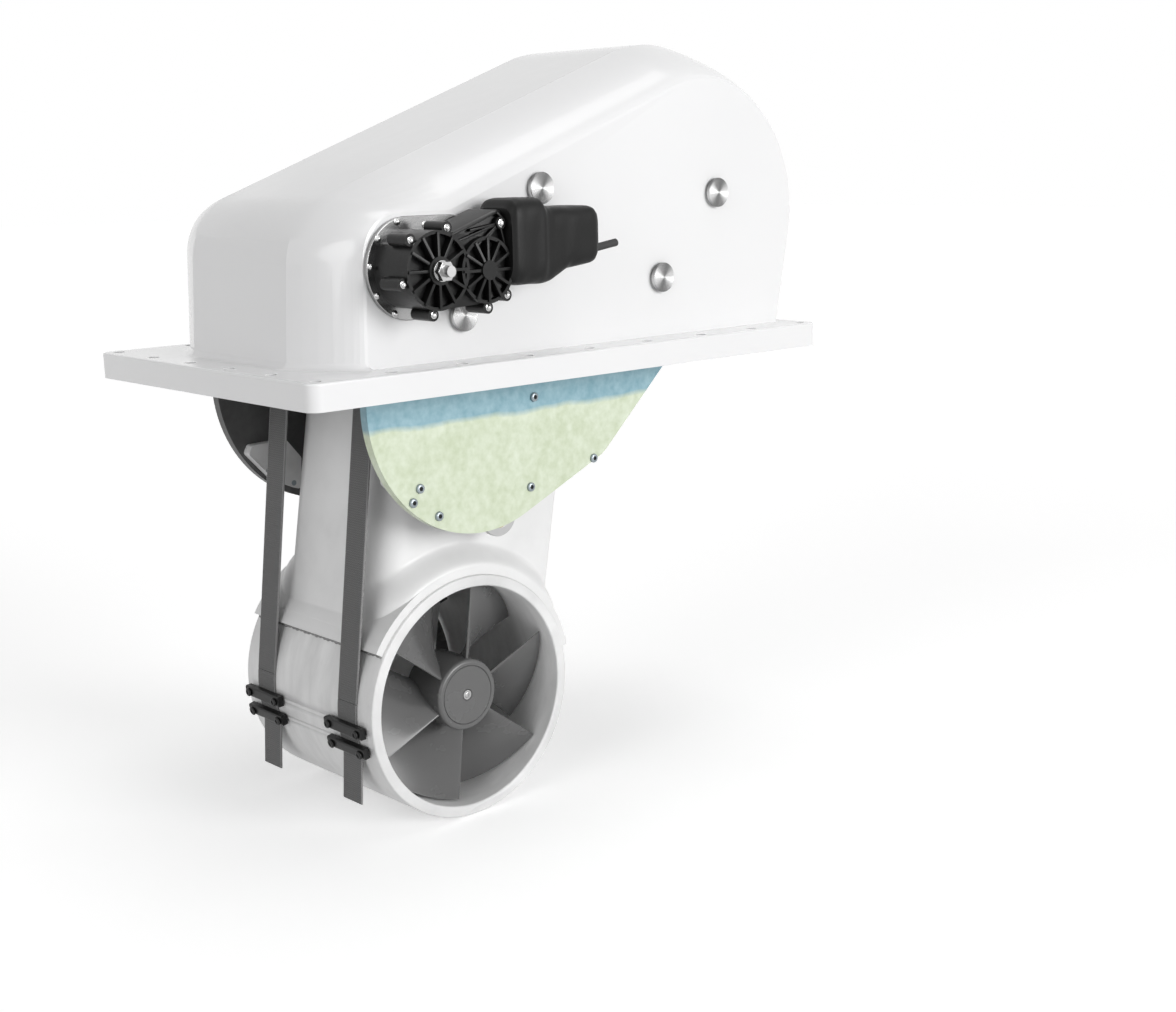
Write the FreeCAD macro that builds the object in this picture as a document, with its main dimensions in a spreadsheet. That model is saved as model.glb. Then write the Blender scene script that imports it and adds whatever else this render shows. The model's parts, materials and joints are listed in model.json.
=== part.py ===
"""Retracting bow thruster: a moulded housing over a hull flange, a leg with a tunnel that swings
down on two arms, a strap winch with its gearmotor, and two propellers turning against each other.

Frame, in millimetres: the origin is the centre of the hull flange on its underside, +X points to
the high end of the housing, -Y to the side of the winch gearmotor, and +Z up. The model stands at
rest with the leg down.
"""

import FreeCAD, Part
import math
import os
import re

from FreeCAD import Placement, Rotation, Vector

NODE_FOLDER = "parts"
os.makedirs(NODE_FOLDER, exist_ok=True)

doc = FreeCAD.newDocument("bow_thruster")
sheet = doc.addObject("Spreadsheet::Sheet", "Sizes")

# Driving dimensions in millimetres and degrees: alias, value, meaning.
SIZES = [
    # hull flange and moulded housing
    ("flange_length", 540, "hull flange along X"),
    ("flange_width", 302, "hull flange along Y"),
    ("flange_thick", 20, "hull flange thickness"),
    ("flange_corner", 10, "flange corner radius"),
    ("flange_edge", 1.5, "rounding of the flange's upper edge"),
    ("hole_inset", 12, "flange edge to bolt centre"),
    ("hole_dia", 9, "clearance hole for an M8 bolt"),
    ("holes_long", 9, "bolts along each long side"),
    ("holes_short", 6, "bolts along each short side, corners included"),
    ("shell_half", 118, "centre plane to the housing's side wall"),
    ("shell_wall", 8, "laminate thickness of the housing"),
    ("shell_flat", 0.55, "flat share of the half width"),
    ("front_foot", -236, "low end wall at the flange underside"),
    ("front_top", -225, "low end wall at the knee"),
    ("front_turn", 36, "depth of the low end's side rounding"),
    ("knee_height", 129, "where the low end wall meets the roof"),
    ("knee_round", 55, "radius of the knee on the centre line"),
    ("knee_round_side", 32, "radius of the knee at the side wall"),
    ("shoulder_x", -118, "end of the level shoulder over the gearmotor"),
    ("roof_slope", 20.3, "roof angle"),
    ("shoulder_drop", 1, "rise of the level shoulder's end over the knee height"),
    ("crown_x", 143, "crown arc centre"),
    ("crown_z", 132, "crown arc centre height"),
    ("crown_round", 125, "crown arc radius on the centre line"),
    ("crown_shift", 17, "crown arc centre shift at the side wall, along X"),
    ("crown_drop", 14, "crown arc centre drop at the side wall"),
    ("crown_round_side", 108, "crown arc radius at the side wall"),
    ("rear_foot", 244, "high end wall at the flange underside"),
    ("rear_turn", 1, "depth of the high end's side rounding"),
    ("facet_share", 0.55, "share of the drawing in that the side facet takes"),
    # side plates
    ("plate_thick", 8, "side plate thickness"),
    ("pad_thick", 2, "pad between the housing wall and a side plate"),
    ("plate_inner", "=shell_half - shell_wall - pad_thick - plate_thick",
     "centre plane to the inner face of a side plate"),
    ("plate_round_x", -87, "centre of the plate's lower arc"),
    ("plate_round_z", -11, "height of the centre of the plate's lower arc"),
    ("plate_round", 108, "radius of the plate's lower arc"),
    ("plate_slope", 23, "angle of the plate's straight lower edge"),
    ("plate_rise", 42.5, "angle of the plate's rear edge"),
    ("plate_rear_x", 114, "rear edge of the plate just under the flange"),
    ("plate_rear_z", -8, "height of that point"),
    ("plate_corner", 26, "corner radius between the plate's lower and rear edges"),
    ("plate_gap", 3, "plate edge to housing wall"),
    ("plate_past_track", 28, "stowed guide pin to the plate's rear edge inside the housing"),
    ("plate_past_winch", 12, "winch shaft to the plate's low end edge inside the housing"),
    ("plate_notch", 13, "drop of the plate's corner under the pivot, clear of the gearmotor"),
    ("plate_step_x", 49, "pivot to the plate's upright edge"),
    ("plate_step_z", 107, "pivot to the foot of that edge"),
    ("plate_ramp_x", 14, "pivot to the foot of the plate's ramp, towards the low end"),
    ("plate_ramp_z", 42, "pivot to the foot of the plate's ramp, upwards"),
    ("screw_head_dia", 7.6, "button head of a plate screw"),
    ("screw_head", 2.2, "button head height"),
    ("screw_shank_dia", 4.8, "plate screw shank"),
    ("block_thick", 8.6, "stop block thickness"),
    # pivot and fixing bolts
    ("pivot_x", -111, "fixed pivot of the swing arms"),
    ("pivot_z", 53, "height of the fixed pivot"),
    ("cap_dia", 24, "turned bolt cap"),
    ("cap_height", 4, "bolt cap height"),
    ("cap_edge", 1.2, "chamfer on the bolt cap"),
    ("seal_thick", 1, "seal ring under a cap"),
    ("fixing_dia", 12, "plate fixing bolt"),
    ("pivot_dia", 14, "arm pivot bolt and arm pin"),
    ("bush_wall", 3, "arm bush wall"),
    ("head_gap", 0.4, "pivot bolt's head to swing arm"),
    ("tunnel_clear", 0.8, "pivot bolt's head to the tunnel's end as it passes"),
    ("fit", 0.05, "radial clearance of a running fit"),
    # swing arms
    ("arm_thick", 5, "swing arm thickness"),
    ("arm_width", 34, "swing arm width"),
    ("arm_gap", 1, "side plate to swing arm"),
    ("arm_window", 12, "width of the lightening slot in a swing arm"),
    ("arm_window_inset", 37, "eye centre to the middle of the slot's end"),
    # leg and tunnel
    ("bore", 185, "tunnel bore"),
    ("tunnel_wall", 9.5, "tunnel wall"),
    ("tunnel_gap", 10, "side plate to the tunnel's end"),
    ("tunnel_half", "=plate_inner - tunnel_gap", "half length of the tunnel"),
    ("tunnel_lip", 1.5, "rounding of the tunnel's edges"),
    ("tunnel_x", -91, "tunnel axis with the leg down"),
    ("tunnel_z", -260, "tunnel axis height with the leg down"),
    ("leg_lean", 10, "lean of the leg from upright with the leg down"),
    ("stowed_x", -78, "tunnel axis with the leg up"),
    ("stowed_z", -10, "tunnel axis height with the leg up"),
    ("stowed_lean", 65, "lean of the leg from upright with the leg up"),
    ("collar_wall", 6.5, "collar of the leg around the tunnel"),
    ("collar_step", 3, "tunnel end to the collar's edge"),
    ("collar_half", "=tunnel_half - collar_step", "half length of the collar"),
    ("collar_angle", 68.5, "collar reach each side of the leg axis"),
    ("leg_depth", 172, "leg casing across the tunnel axis"),
    ("leg_width", 124, "leg casing along the tunnel axis"),
    ("leg_corner", 28, "leg casing corner radius"),
    ("leg_wall", 7, "leg casing wall"),
    ("leg_deck", 122, "tunnel axis to the motor deck"),
    ("boss_dia", 25, "pin boss on the leg"),
    ("boss_gap", 0.5, "pin boss to swing arm"),
    ("guide_boss_dia", 20, "guide pin boss on the leg"),
    ("guide_up", 268, "guide pin place along the leg"),
    ("leg_over", 17, "guide pin to the top of the leg casing"),
    ("leg_length", "=guide_up + leg_over", "tunnel axis to the top of the leg casing"),
    ("guide_aside", 30, "guide pin place across the leg"),
    ("guide_dia", 10, "guide pin"),
    ("shoe_dia", 16, "guide shoe"),
    ("track_depth", 5, "depth of the guide track"),
    ("track_play", 0.3, "guide shoe to track wall"),
    ("track_end_play", 0.4, "guide shoe and pin to the track's floor"),
    # drive
    ("motor_dia", 106, "drive motor case"),
    ("motor_length", 128, "drive motor case length"),
    ("motor_top", 12, "drive motor end cap height"),
    ("motor_wall", 4, "drive motor case wall"),
    ("motor_end", 8, "drive motor case end thickness"),
    ("rotor_gap", 4, "armature to case wall"),
    ("rotor_end_gap", 10, "armature to case end"),
    ("stud_dia", 8, "motor terminal stud"),
    ("stud_length", 14, "motor terminal stud length"),
    ("stud_nut_dia", 14, "collar nut on a terminal"),
    ("stud_nut", 5, "collar nut height"),
    ("stud_aside", 22, "motor axis to a terminal"),
    ("drive_dia", 16, "drive shaft"),
    ("strut_depth", 52, "gear leg strut across the tunnel axis"),
    ("strut_width", 26, "gear leg strut along the tunnel axis"),
    ("pod_dia", 50, "gear leg pod"),
    ("pod_half", 36, "half length of the gear leg pod"),
    ("way_gap", 1, "drive shaft to the way around it"),
    ("bearing_length", 9, "propeller shaft bearing"),
    ("bearing_wall", 5, "propeller shaft bearing and seal wall"),
    ("lip_seal", 3, "propeller shaft seal thickness"),
    ("prop_dia", 182, "propeller"),
    ("prop_hub_dia", 54, "propeller hub"),
    ("prop_recess", 8, "tunnel end to the propeller hub's face"),
    ("prop_face", "=tunnel_half - prop_recess", "centre plane to the propeller hub's face"),
    ("hub_gap", 2, "gear leg pod to propeller hub"),
    ("prop_hub", "=prop_face - pod_half - hub_gap", "propeller hub length"),
    ("prop_shaft_dia", 14, "propeller shaft"),
    ("prop_bolt_dia", 8, "bolt head in the propeller hub"),
    ("prop_bolt_depth", 3, "recess for that head"),
    ("prop_web", 3, "floor of that recess, between the bolt head and the shaft's end"),
    ("blades", 6, "blades on each propeller"),
    ("bevel_round", 15, "bevel gear outer radius"),
    ("pinion_round", 9, "bevel pinion outer radius"),
    ("pinion_back", 5, "straight back of the bevel pinion"),
    ("bevel_gap", 0.6, "bevel pinion to the bevel gears' faces"),
    ("bevel_back", 10, "depth of a bevel gear behind its face"),
    # winch
    ("winch_x", -164, "winch shaft"),
    ("winch_z", 90, "winch shaft height"),
    ("winch_dia", 14, "winch shaft diameter"),
    ("winch_thread_dia", 8, "threaded end of the winch shaft"),
    ("winch_thread", 14, "length of that end past the gear cover"),
    ("winch_thread_start", 2, "gear cover to the washer"),
    ("washer_dia", 15, "washer on the winch shaft"),
    ("washer_thick", 1.6, "washer thickness"),
    ("nut_reach", 7.5, "winch nut, centre to corner"),
    ("nut_thick", 4.9, "winch nut thickness"),
    ("far_bearing", 14, "winch shaft's bearing at the far wall, length"),
    ("far_bearing_wall", 9, "winch shaft to the outside of that bearing"),
    ("drum_dia", 26, "strap drum barrel"),
    ("drum_flange_dia", 34, "strap drum cheeks"),
    ("cheek", 2, "strap drum cheek thickness"),
    ("strap_inset", 32, "end of the tunnel to strap centre"),
    ("strap_y", "=tunnel_half - strap_inset", "centre plane to strap centre"),
    ("strap_width", 25, "strap width"),
    ("strap_thick", 1.6, "strap thickness"),
    ("strap_play", 1, "strap to drum cheek"),
    ("clamp_length", 49, "strap clamp bar length"),
    ("clamp_width", 9, "strap clamp bar width"),
    ("clamp_thick", 5.5, "strap clamp bar thickness"),
    ("clamp_first", 103.7, "first clamp, degrees round the tunnel from the leg axis"),
    ("clamp_step", 9.1, "step to the second clamp"),
    ("tail_length", 41, "free strap end under the second clamp"),
    # winch gearmotor
    ("seat_thick", 4, "gearmotor mounting plate"),
    ("seat_round", 37, "gearmotor mounting plate radius"),
    ("seat_shift", 3, "winch shaft to the middle of the mounting plate"),
    ("gear_case", 30, "gear case depth"),
    ("gear_cover_depth", 11, "gear cover depth"),
    ("out_disc", 28, "gear case radius at the winch shaft"),
    ("idle_x", -119, "intermediate gear axis"),
    ("idle_z", 88, "intermediate gear height"),
    ("idle_disc", 24, "gear case radius at the intermediate gear"),
    ("case_wall", 2.5, "gear case wall"),
    ("lug_dia", 9, "screw lug on the gear case and cover"),
    ("lug_height", 6, "screw lug above the cover's joint"),
    ("bell_gap", 0.3, "motor bell to gear case"),
    ("rib_count", 12, "ribs round each disc of the gear cover"),
    ("rib_thick", 2, "cover rib thickness"),
    ("lift_motor_dia", 50, "winch motor boot"),
    ("lift_motor_out", 27, "housing wall to winch motor axis"),
    ("lift_motor_y", "=-(shell_half + lift_motor_out)", "winch motor axis"),
    ("lift_motor_z", 106, "winch motor axis height"),
    ("lift_motor_start", -75, "winch motor boot, inner end"),
    ("lift_motor_end", -10, "winch motor boot, outer end"),
    ("bell_start", -101, "winch motor front bell, inner end"),
    ("bell_half", 31.5, "winch motor front bell, half height"),
    ("lead_dia", 6, "lead sleeve"),
    ("lead_end", 25, "lead sleeve's far end"),
    ("worm_dia", 11, "worm"),
    ("mesh_gap", 0.3, "gear tip to gear tip"),
    ("wheel_in", 6, "mounting plate to the output gear"),
    ("wheel_thick", 7, "output gear and its pinion"),
    ("wheel_gap", 1.5, "output gear to the case wall"),
    ("worm_wheel_thick", 8, "worm wheel"),
    ("worm_length", 32, "threaded length of the worm"),
    ("worm_shaft_dia", 6, "worm shaft and intermediate axle"),
    ("worm_past", 4, "worm to the blind end of its shaft"),
    ("worm_gap", 1, "worm to the case around it"),
    ("worm_cover", 18, "worm housing across Y"),
    ("worm_cover_high", 20, "worm housing height"),
    ("rotor_dia", 32, "winch motor armature"),
    ("rotor_length", 36, "winch motor armature length"),
    ("rotor_in", 6, "winch motor boot's inner end to the armature"),
    ("bell_corner", 9, "rounding of the motor bell"),
    ("bell_seat_gap", 0.5, "motor bell to the mounting plate"),
    ("bell_rise", 1.5, "motor axis to the middle of the bell"),
    ("bell_way", 8, "bore of the bell for the worm shaft"),
    ("boot_taper", 16, "length of the boot's tapered end"),
    ("boot_wall", 2.5, "boot wall"),
    ("lead_drop", 5, "winch motor axis down to the lead"),
    ("case_screw_dia", 5.2, "screw head on the gearmotor"),
    ("case_screw", 2.4, "height of that head"),
    ("cover_plate", 3, "gear cover's base thickness"),
    ("out_hub_dia", 20, "hub of the gear cover at the winch shaft"),
    ("idle_hub_dia", 14, "hub of the gear cover at the intermediate gear"),
    ("hub_step", 2.5, "step from a cover hub down to its ribs"),
]
ALIASES = {}
for row, (alias, value, meaning) in enumerate(SIZES, start=1):
    sheet.set(f"A{row}", alias)
    sheet.set(f"B{row}", str(value))
    sheet.set(f"C{row}", meaning)
    sheet.setAlias(f"B{row}", alias)
    ALIASES[alias] = f"B{row}"
doc.recompute()


class Reader:
    """Reads the sheet's values as plain numbers, for shapes that are worked out in code."""

    def __getattr__(self, alias):
        return float(sheet.get(alias))


d = Reader()
SIDES = (("near", -1), ("far", 1))
ALONG_X = Rotation(Vector(0, 1, 0), 90)
ALONG_Y = Rotation(Vector(1, 0, 0), -90)
ALONG_Z = Rotation()
NODES = {}


def on_sheet(expression):
    """Turns alias names in an expression into references to the sheet."""
    return re.sub(r"\b[a-z_]+\b", lambda word: "Sizes." + word.group(0)
                  if word.group(0) in ALIASES else word.group(0), expression)


def bind(item, **expressions):
    """Binds properties to expressions on the sheet; a double underscore stands for a dot."""
    for prop, expression in expressions.items():
        item.setExpression(prop.replace("__", "."), on_sheet(expression))
    return item


def rod(name, radius, length, start, turn=ALONG_Y):
    """A cylinder from start, three expressions, along the turned axis."""
    item = doc.addObject("Part::Cylinder", name)
    item.Placement = Placement(Vector(), turn)
    bind(item, Radius=radius, Height=length, Placement__Base__x=start[0],
         Placement__Base__y=start[1], Placement__Base__z=start[2])
    return item


def block(name, size, start):
    """A box from its lowest corner, with sizes and corner as expressions."""
    item = doc.addObject("Part::Box", name)
    bind(item, Length=size[0], Width=size[1], Height=size[2], Placement__Base__x=start[0],
         Placement__Base__y=start[1], Placement__Base__z=start[2])
    return item


def fuse(name, *items):
    item = doc.addObject("Part::MultiFuse", name)
    item.Shapes = list(items)
    return item


def cut(name, base, *tools):
    """The base less the tools."""
    item = doc.addObject("Part::Cut", name)
    item.Base = base
    item.Tool = tools[0] if len(tools) == 1 else group(name + "_tools", *tools)
    return item


def common(name, *items):
    item = doc.addObject("Part::MultiCommon", name)
    item.Shapes = list(items)
    return item


def group(name, *items):
    """Separate solids of one kind kept together as one compound."""
    item = doc.addObject("Part::Compound", name)
    item.Links = list(items)
    return item


def ring(name, outer, inner, length, start, turn=ALONG_Y):
    """A tube between two radii."""
    return cut(name, rod(name + "_outer", outer, length, start, turn),
               rod(name + "_inner", inner, length, start, turn))


def solid(name, shape):
    """A shape that Part's own functions worked out."""
    item = doc.addObject("Part::Feature", name)
    item.Shape = shape
    return item


def node(item, label, placement=None):
    """Files a finished piece under its node name."""
    item.Label = label
    if placement is not None:
        item.Placement = placement
    NODES[label] = item
    return item


def plane_of(body, role):
    return next(part for part in body.Origin.OriginFeatures if part.Role == role)


def sketch_on(body, role, edges, name):
    """A sketch on one of the body's own origin planes."""
    sketch = body.newObject("Sketcher::SketchObject", name)
    sketch.AttachmentSupport = (plane_of(body, role), [""])
    sketch.MapMode = "FlatFace"
    sketch.addGeometry(edges, False)
    return sketch


def padded(name, role, edges, length, reverse=False):
    """A body with one padded outline."""
    body = doc.addObject("PartDesign::Body", name)
    sketch = sketch_on(body, role, edges, name + "_outline")
    pad = body.newObject("PartDesign::Pad", name + "_pad")
    pad.Profile = sketch
    pad.Reversed = reverse
    bind(pad, Length=length)
    doc.recompute()
    return body


def turned(name, points):
    """A body turned about its Z axis from a half section of (radius, height) points."""
    body = doc.addObject("PartDesign::Body", name)
    sketch = sketch_on(body, "XZ_Plane", outline(points), name + "_section")
    lathe = body.newObject("PartDesign::Revolution", name + "_turn")
    lathe.Profile = sketch
    lathe.ReferenceAxis = (sketch, ["V_Axis"])
    lathe.Angle = 360
    doc.recompute()
    return body


def outline(points):
    """Straight sides through the points, closed."""
    corners = [Vector(x, y, 0) for x, y in points]
    return [Part.LineSegment(a, b) for a, b in zip(corners, corners[1:] + corners[:1])]


def rounded(corners):
    """A closed outline of (x, y, radius) corners, each joined by a tangent arc."""
    count = len(corners)
    ends = []
    for index, (x, y, radius) in enumerate(corners):
        here = Vector(x, y, 0)
        before = Vector(*corners[index - 1][:2], 0)
        after = Vector(*corners[(index + 1) % count][:2], 0)
        to_before = (before - here).normalize()
        to_after = (after - here).normalize()
        if radius <= 0:
            ends.append((here, None, here))
            continue
        half = to_before.getAngle(to_after) / 2
        reach = radius / math.tan(half)
        middle = (to_before + to_after).normalize()
        centre = here + middle * (radius / math.sin(half))
        ends.append((here + to_before * reach, centre - middle * radius, here + to_after * reach))
    edges = []
    for index, (start, top, end) in enumerate(ends):
        if top is not None:
            edges.append(Part.Arc(start, top, end))
        following = ends[(index + 1) % count][0]
        if (following - end).Length > 1e-6:
            edges.append(Part.LineSegment(end, following))
    return edges


def hull_of_circles(x1, y1, r1, x2, y2, r2):
    """The outline of a belt round two circles."""
    a, b = Vector(x1, y1, 0), Vector(x2, y2, 0)
    along = b - a
    distance = along.Length
    along.normalize()
    side = Vector(-along.y, along.x, 0)
    lean = math.asin((r1 - r2) / distance)
    up = side * math.cos(lean) + along * math.sin(lean)
    down = side * -math.cos(lean) + along * math.sin(lean)
    return [
        Part.LineSegment(a + up * r1, b + up * r2),
        Part.Arc(b + up * r2, b + along * r2, b + down * r2),
        Part.LineSegment(b + down * r2, a + down * r1),
        Part.Arc(a + down * r1, a - along * r1, a + up * r1),
    ]


def wire_at_y(edges, y):
    """Lays flat edges, drawn in x and z, on the plane at y."""
    laid = Part.Wire(Part.__sortEdges__([edge.toShape() for edge in edges]))
    laid.Placement = Placement(Vector(0, y, 0), Rotation(Vector(1, 0, 0), 90))
    return laid


def prism(edges, y0, y1):
    """A solid between two planes across Y, from an outline drawn in x and z."""
    return Part.Face(wire_at_y(edges, y0)).extrude(Vector(0, y1 - y0, 0))


# The linkage. The arms turn about the fixed pivot, and their pins sit on the leg's axis at the
# one height that is as far from the pivot with the leg down as with the leg up.
def leg_point(tunnel, lean, up, aside):
    """A place on the leg, up its axis and aside of it towards +X."""
    angle = math.radians(lean)
    return Vector(tunnel.x + up * math.sin(angle) + aside * math.cos(angle), 0,
                  tunnel.z + up * math.cos(angle) - aside * math.sin(angle))


PIVOT = Vector(d.pivot_x, 0, d.pivot_z)
TUNNEL_DOWN = Vector(d.tunnel_x, 0, d.tunnel_z)
TUNNEL_UP = Vector(d.stowed_x, 0, d.stowed_z)
down_reach = TUNNEL_DOWN - PIVOT
up_reach = TUNNEL_UP - PIVOT
down_axis = leg_point(Vector(), d.leg_lean, 1, 0)
up_axis = leg_point(Vector(), d.stowed_lean, 1, 0)
PIN_UP = (down_reach.dot(down_reach) - up_reach.dot(up_reach)) / (
    2 * (up_reach.dot(up_axis) - down_reach.dot(down_axis)))
PIN_DOWN = leg_point(TUNNEL_DOWN, d.leg_lean, PIN_UP, 0)
PIN_STOWED = leg_point(TUNNEL_UP, d.stowed_lean, PIN_UP, 0)
ARM_LENGTH = (PIN_DOWN - PIVOT).Length
ARM_START = math.degrees(math.atan2(PIN_DOWN.z - PIVOT.z, PIN_DOWN.x - PIVOT.x))
ARM_END = math.degrees(math.atan2(PIN_STOWED.z - PIVOT.z, PIN_STOWED.x - PIVOT.x))
ARM_SWING = ARM_END - ARM_START
LEG_SWING = d.stowed_lean - d.leg_lean
LEG = Placement(TUNNEL_DOWN, Rotation(Vector(0, 1, 0), d.leg_lean))
print("arm length", round(ARM_LENGTH, 3), "pin up the leg", round(PIN_UP, 3))
print("arm swing", round(ARM_SWING, 3), "leg to arm ratio", round(-(LEG_SWING + ARM_SWING) / ARM_SWING, 5))


def leg_state(share):
    """Tunnel axis and lean at a share of the arm's swing."""
    angle = math.radians(ARM_START + share * ARM_SWING)
    lean = d.leg_lean + share * LEG_SWING
    pin = PIVOT + Vector(math.cos(angle), 0, math.sin(angle)) * ARM_LENGTH
    return pin - leg_point(Vector(), lean, PIN_UP, 0), lean


def tangent_point(point, centre, radius, side):
    """Where the tangent from a point touches a circle; side is +1 or -1."""
    gap = centre - point
    turn = side * math.degrees(math.acos(radius / gap.Length))
    back = Rotation(Vector(0, 0, 1), turn).multVec(gap * -1).normalize()
    return centre + back * radius


# Moulded housing: a loft through ribs across Y. Each rib is the same chain of lines and arcs.
def rib(share, inset):
    """The housing's outline in x and z. share runs from 0 on the centre to 1 at the side wall."""
    front_foot = d.front_foot + share * d.front_turn + inset
    front_top = d.front_top + share * (d.front_turn - (d.front_top - d.front_foot) / 2) + inset
    knee_height = d.knee_height - inset
    slope = math.radians(d.roof_slope)
    centre_shoulder = d.knee_height + (d.shoulder_x - d.front_top) * math.tan(slope)
    shoulder = centre_shoulder + share * (d.knee_height + d.shoulder_drop - centre_shoulder) - inset
    knee_round = d.knee_round + share * (d.knee_round_side - d.knee_round)
    crown = Vector(d.crown_x + share * d.crown_shift, d.crown_z - share * d.crown_drop, 0)
    crown_round = d.crown_round + share * (d.crown_round_side - d.crown_round) - inset
    rear_foot = d.rear_foot - share * d.rear_turn - inset
    foot = -d.flange_thick
    corner = Vector(front_top, knee_height, 0)
    low = Vector(front_foot, foot, 0)
    shoulder_end = Vector(d.shoulder_x + inset * math.tan(slope / 2), shoulder, 0)
    down = (low - corner).normalize()
    along = (shoulder_end - corner).normalize()
    half = down.getAngle(along) / 2
    reach = knee_round / math.tan(half)
    middle = (down + along).normalize()
    knee_centre = corner + middle * (knee_round / math.sin(half))
    knee_start, knee_end = corner + down * reach, corner + along * reach
    rear_low = Vector(rear_foot, foot, 0)
    crown_start = tangent_point(shoulder_end, crown, crown_round, -1)
    crown_end = tangent_point(rear_low, crown, crown_round, 1)
    spread = math.atan2(crown_start.y - crown.y, crown_start.x - crown.x)
    spread_end = math.atan2(crown_end.y - crown.y, crown_end.x - crown.x)
    middle_angle = (spread + spread_end) / 2
    crown_top = crown + Vector(math.cos(middle_angle), math.sin(middle_angle), 0) * crown_round
    return [
        Part.LineSegment(low, knee_start),
        Part.Arc(knee_start, knee_centre - middle * knee_round, knee_end),
        Part.LineSegment(knee_end, shoulder_end),
        Part.LineSegment(shoulder_end, crown_start),
        Part.Arc(crown_start, crown_top, crown_end),
        Part.LineSegment(crown_end, rear_low),
        Part.LineSegment(rear_low, low),
    ]


def rib_share(across):
    """How far the outline has drawn in at a share of the half width: a facet that ends in a round."""
    beyond = max(0.0, (across - d.shell_flat) / (1 - d.shell_flat))
    return d.facet_share * beyond + (1 - d.facet_share) * (1 - math.sqrt(1 - beyond ** 2))


# Shares of the half width where ribs stand, closer together where the corner rounds.
SHELL_STEPS = (0, 0.4, 0.55, 0.66, 0.76, 0.85, 0.91, 0.955, 0.98, 0.995, 1.0)
PLATE_STEPS = (0, 0.4, 0.55, 0.76, 0.91, 0.98, 1.0)


def moulding(half, inset, steps):
    """The loft through the ribs from one side wall to the other."""
    places = [-step for step in reversed(steps) if step > 0] + list(steps)
    wires = [wire_at_y(rib(rib_share(abs(place)), inset), place * half) for place in places]
    return Part.makeLoft(wires, True, True)


def bolt_places():
    """The flange's hole centres."""
    reach_x = d.flange_length / 2 - d.hole_inset
    reach_y = d.flange_width / 2 - d.hole_inset
    long_count, short_count = int(d.holes_long), int(d.holes_short)
    for index in range(long_count):
        x = -reach_x + index * 2 * reach_x / (long_count - 1)
        yield x, -reach_y
        yield x, reach_y
    for index in range(1, short_count - 1):
        y = -reach_y + index * 2 * reach_y / (short_count - 1)
        yield -reach_x, y
        yield reach_x, y


# Bolt places on the side walls: the arm pivot and three plate fixings.
FIXINGS = [(-31, 143.5), (169, 135.5), (101.7, 68.5)]
CAP_PLACES = [(d.pivot_x, d.pivot_z)] + FIXINGS


def make_housing_shell():
    outer = moulding(d.shell_half, 0, SHELL_STEPS)
    inner = moulding(d.shell_half - d.shell_wall, d.shell_wall, SHELL_STEPS)
    above = Part.makeBox(2 * d.flange_length, 2 * d.flange_width, 2 * d.flange_length,
                         Vector(-d.flange_length, -d.flange_width, d.flange_thick / 2))
    flange = Part.makeBox(d.flange_length, d.flange_width, d.flange_thick,
                          Vector(-d.flange_length / 2, -d.flange_width / 2, 0))
    upright = [edge for edge in flange.Edges if abs(edge.Vertexes[0].Z - edge.Vertexes[1].Z) > 1]
    flange = flange.makeFillet(d.flange_corner, upright)
    rim = [edge for edge in flange.Edges if edge.BoundBox.ZMin > d.flange_thick - 0.01]
    flange = flange.makeFillet(d.flange_edge, rim)
    shape = flange.fuse(outer.common(above))
    pads = [Part.makeCylinder(d.cap_dia / 2, d.pad_thick,
                              Vector(x, side * (d.plate_inner + d.plate_thick), z), Vector(0, side, 0))
            for x, z in CAP_PLACES for _, side in SIDES]
    shape = shape.cut(inner).fuse(pads)
    holes = [Part.makeCylinder(d.hole_dia / 2, 2 * d.flange_thick, Vector(x, y, -d.flange_thick / 2))
             for x, y in bolt_places()]
    wall = d.shell_half + 2 - d.plate_inner - d.plate_thick
    for _, side in SIDES:
        start = side * (d.shell_half + 1)
        for x, z in CAP_PLACES:
            radius = (d.pivot_dia if (x, z) == CAP_PLACES[0] else d.fixing_dia) / 2
            holes.append(Part.makeCylinder(radius, wall, Vector(x, start, z), Vector(0, -side, 0)))
    holes.append(Part.makeCylinder(d.winch_dia / 2 + d.bush_wall, wall,
                                   Vector(d.winch_x, -d.shell_half - 1, d.winch_z), Vector(0, 1, 0)))
    shape = shape.cut(holes).removeSplitter()
    node(solid("housing_shell_form", shape), "housing_shell")


make_housing_shell()


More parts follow.
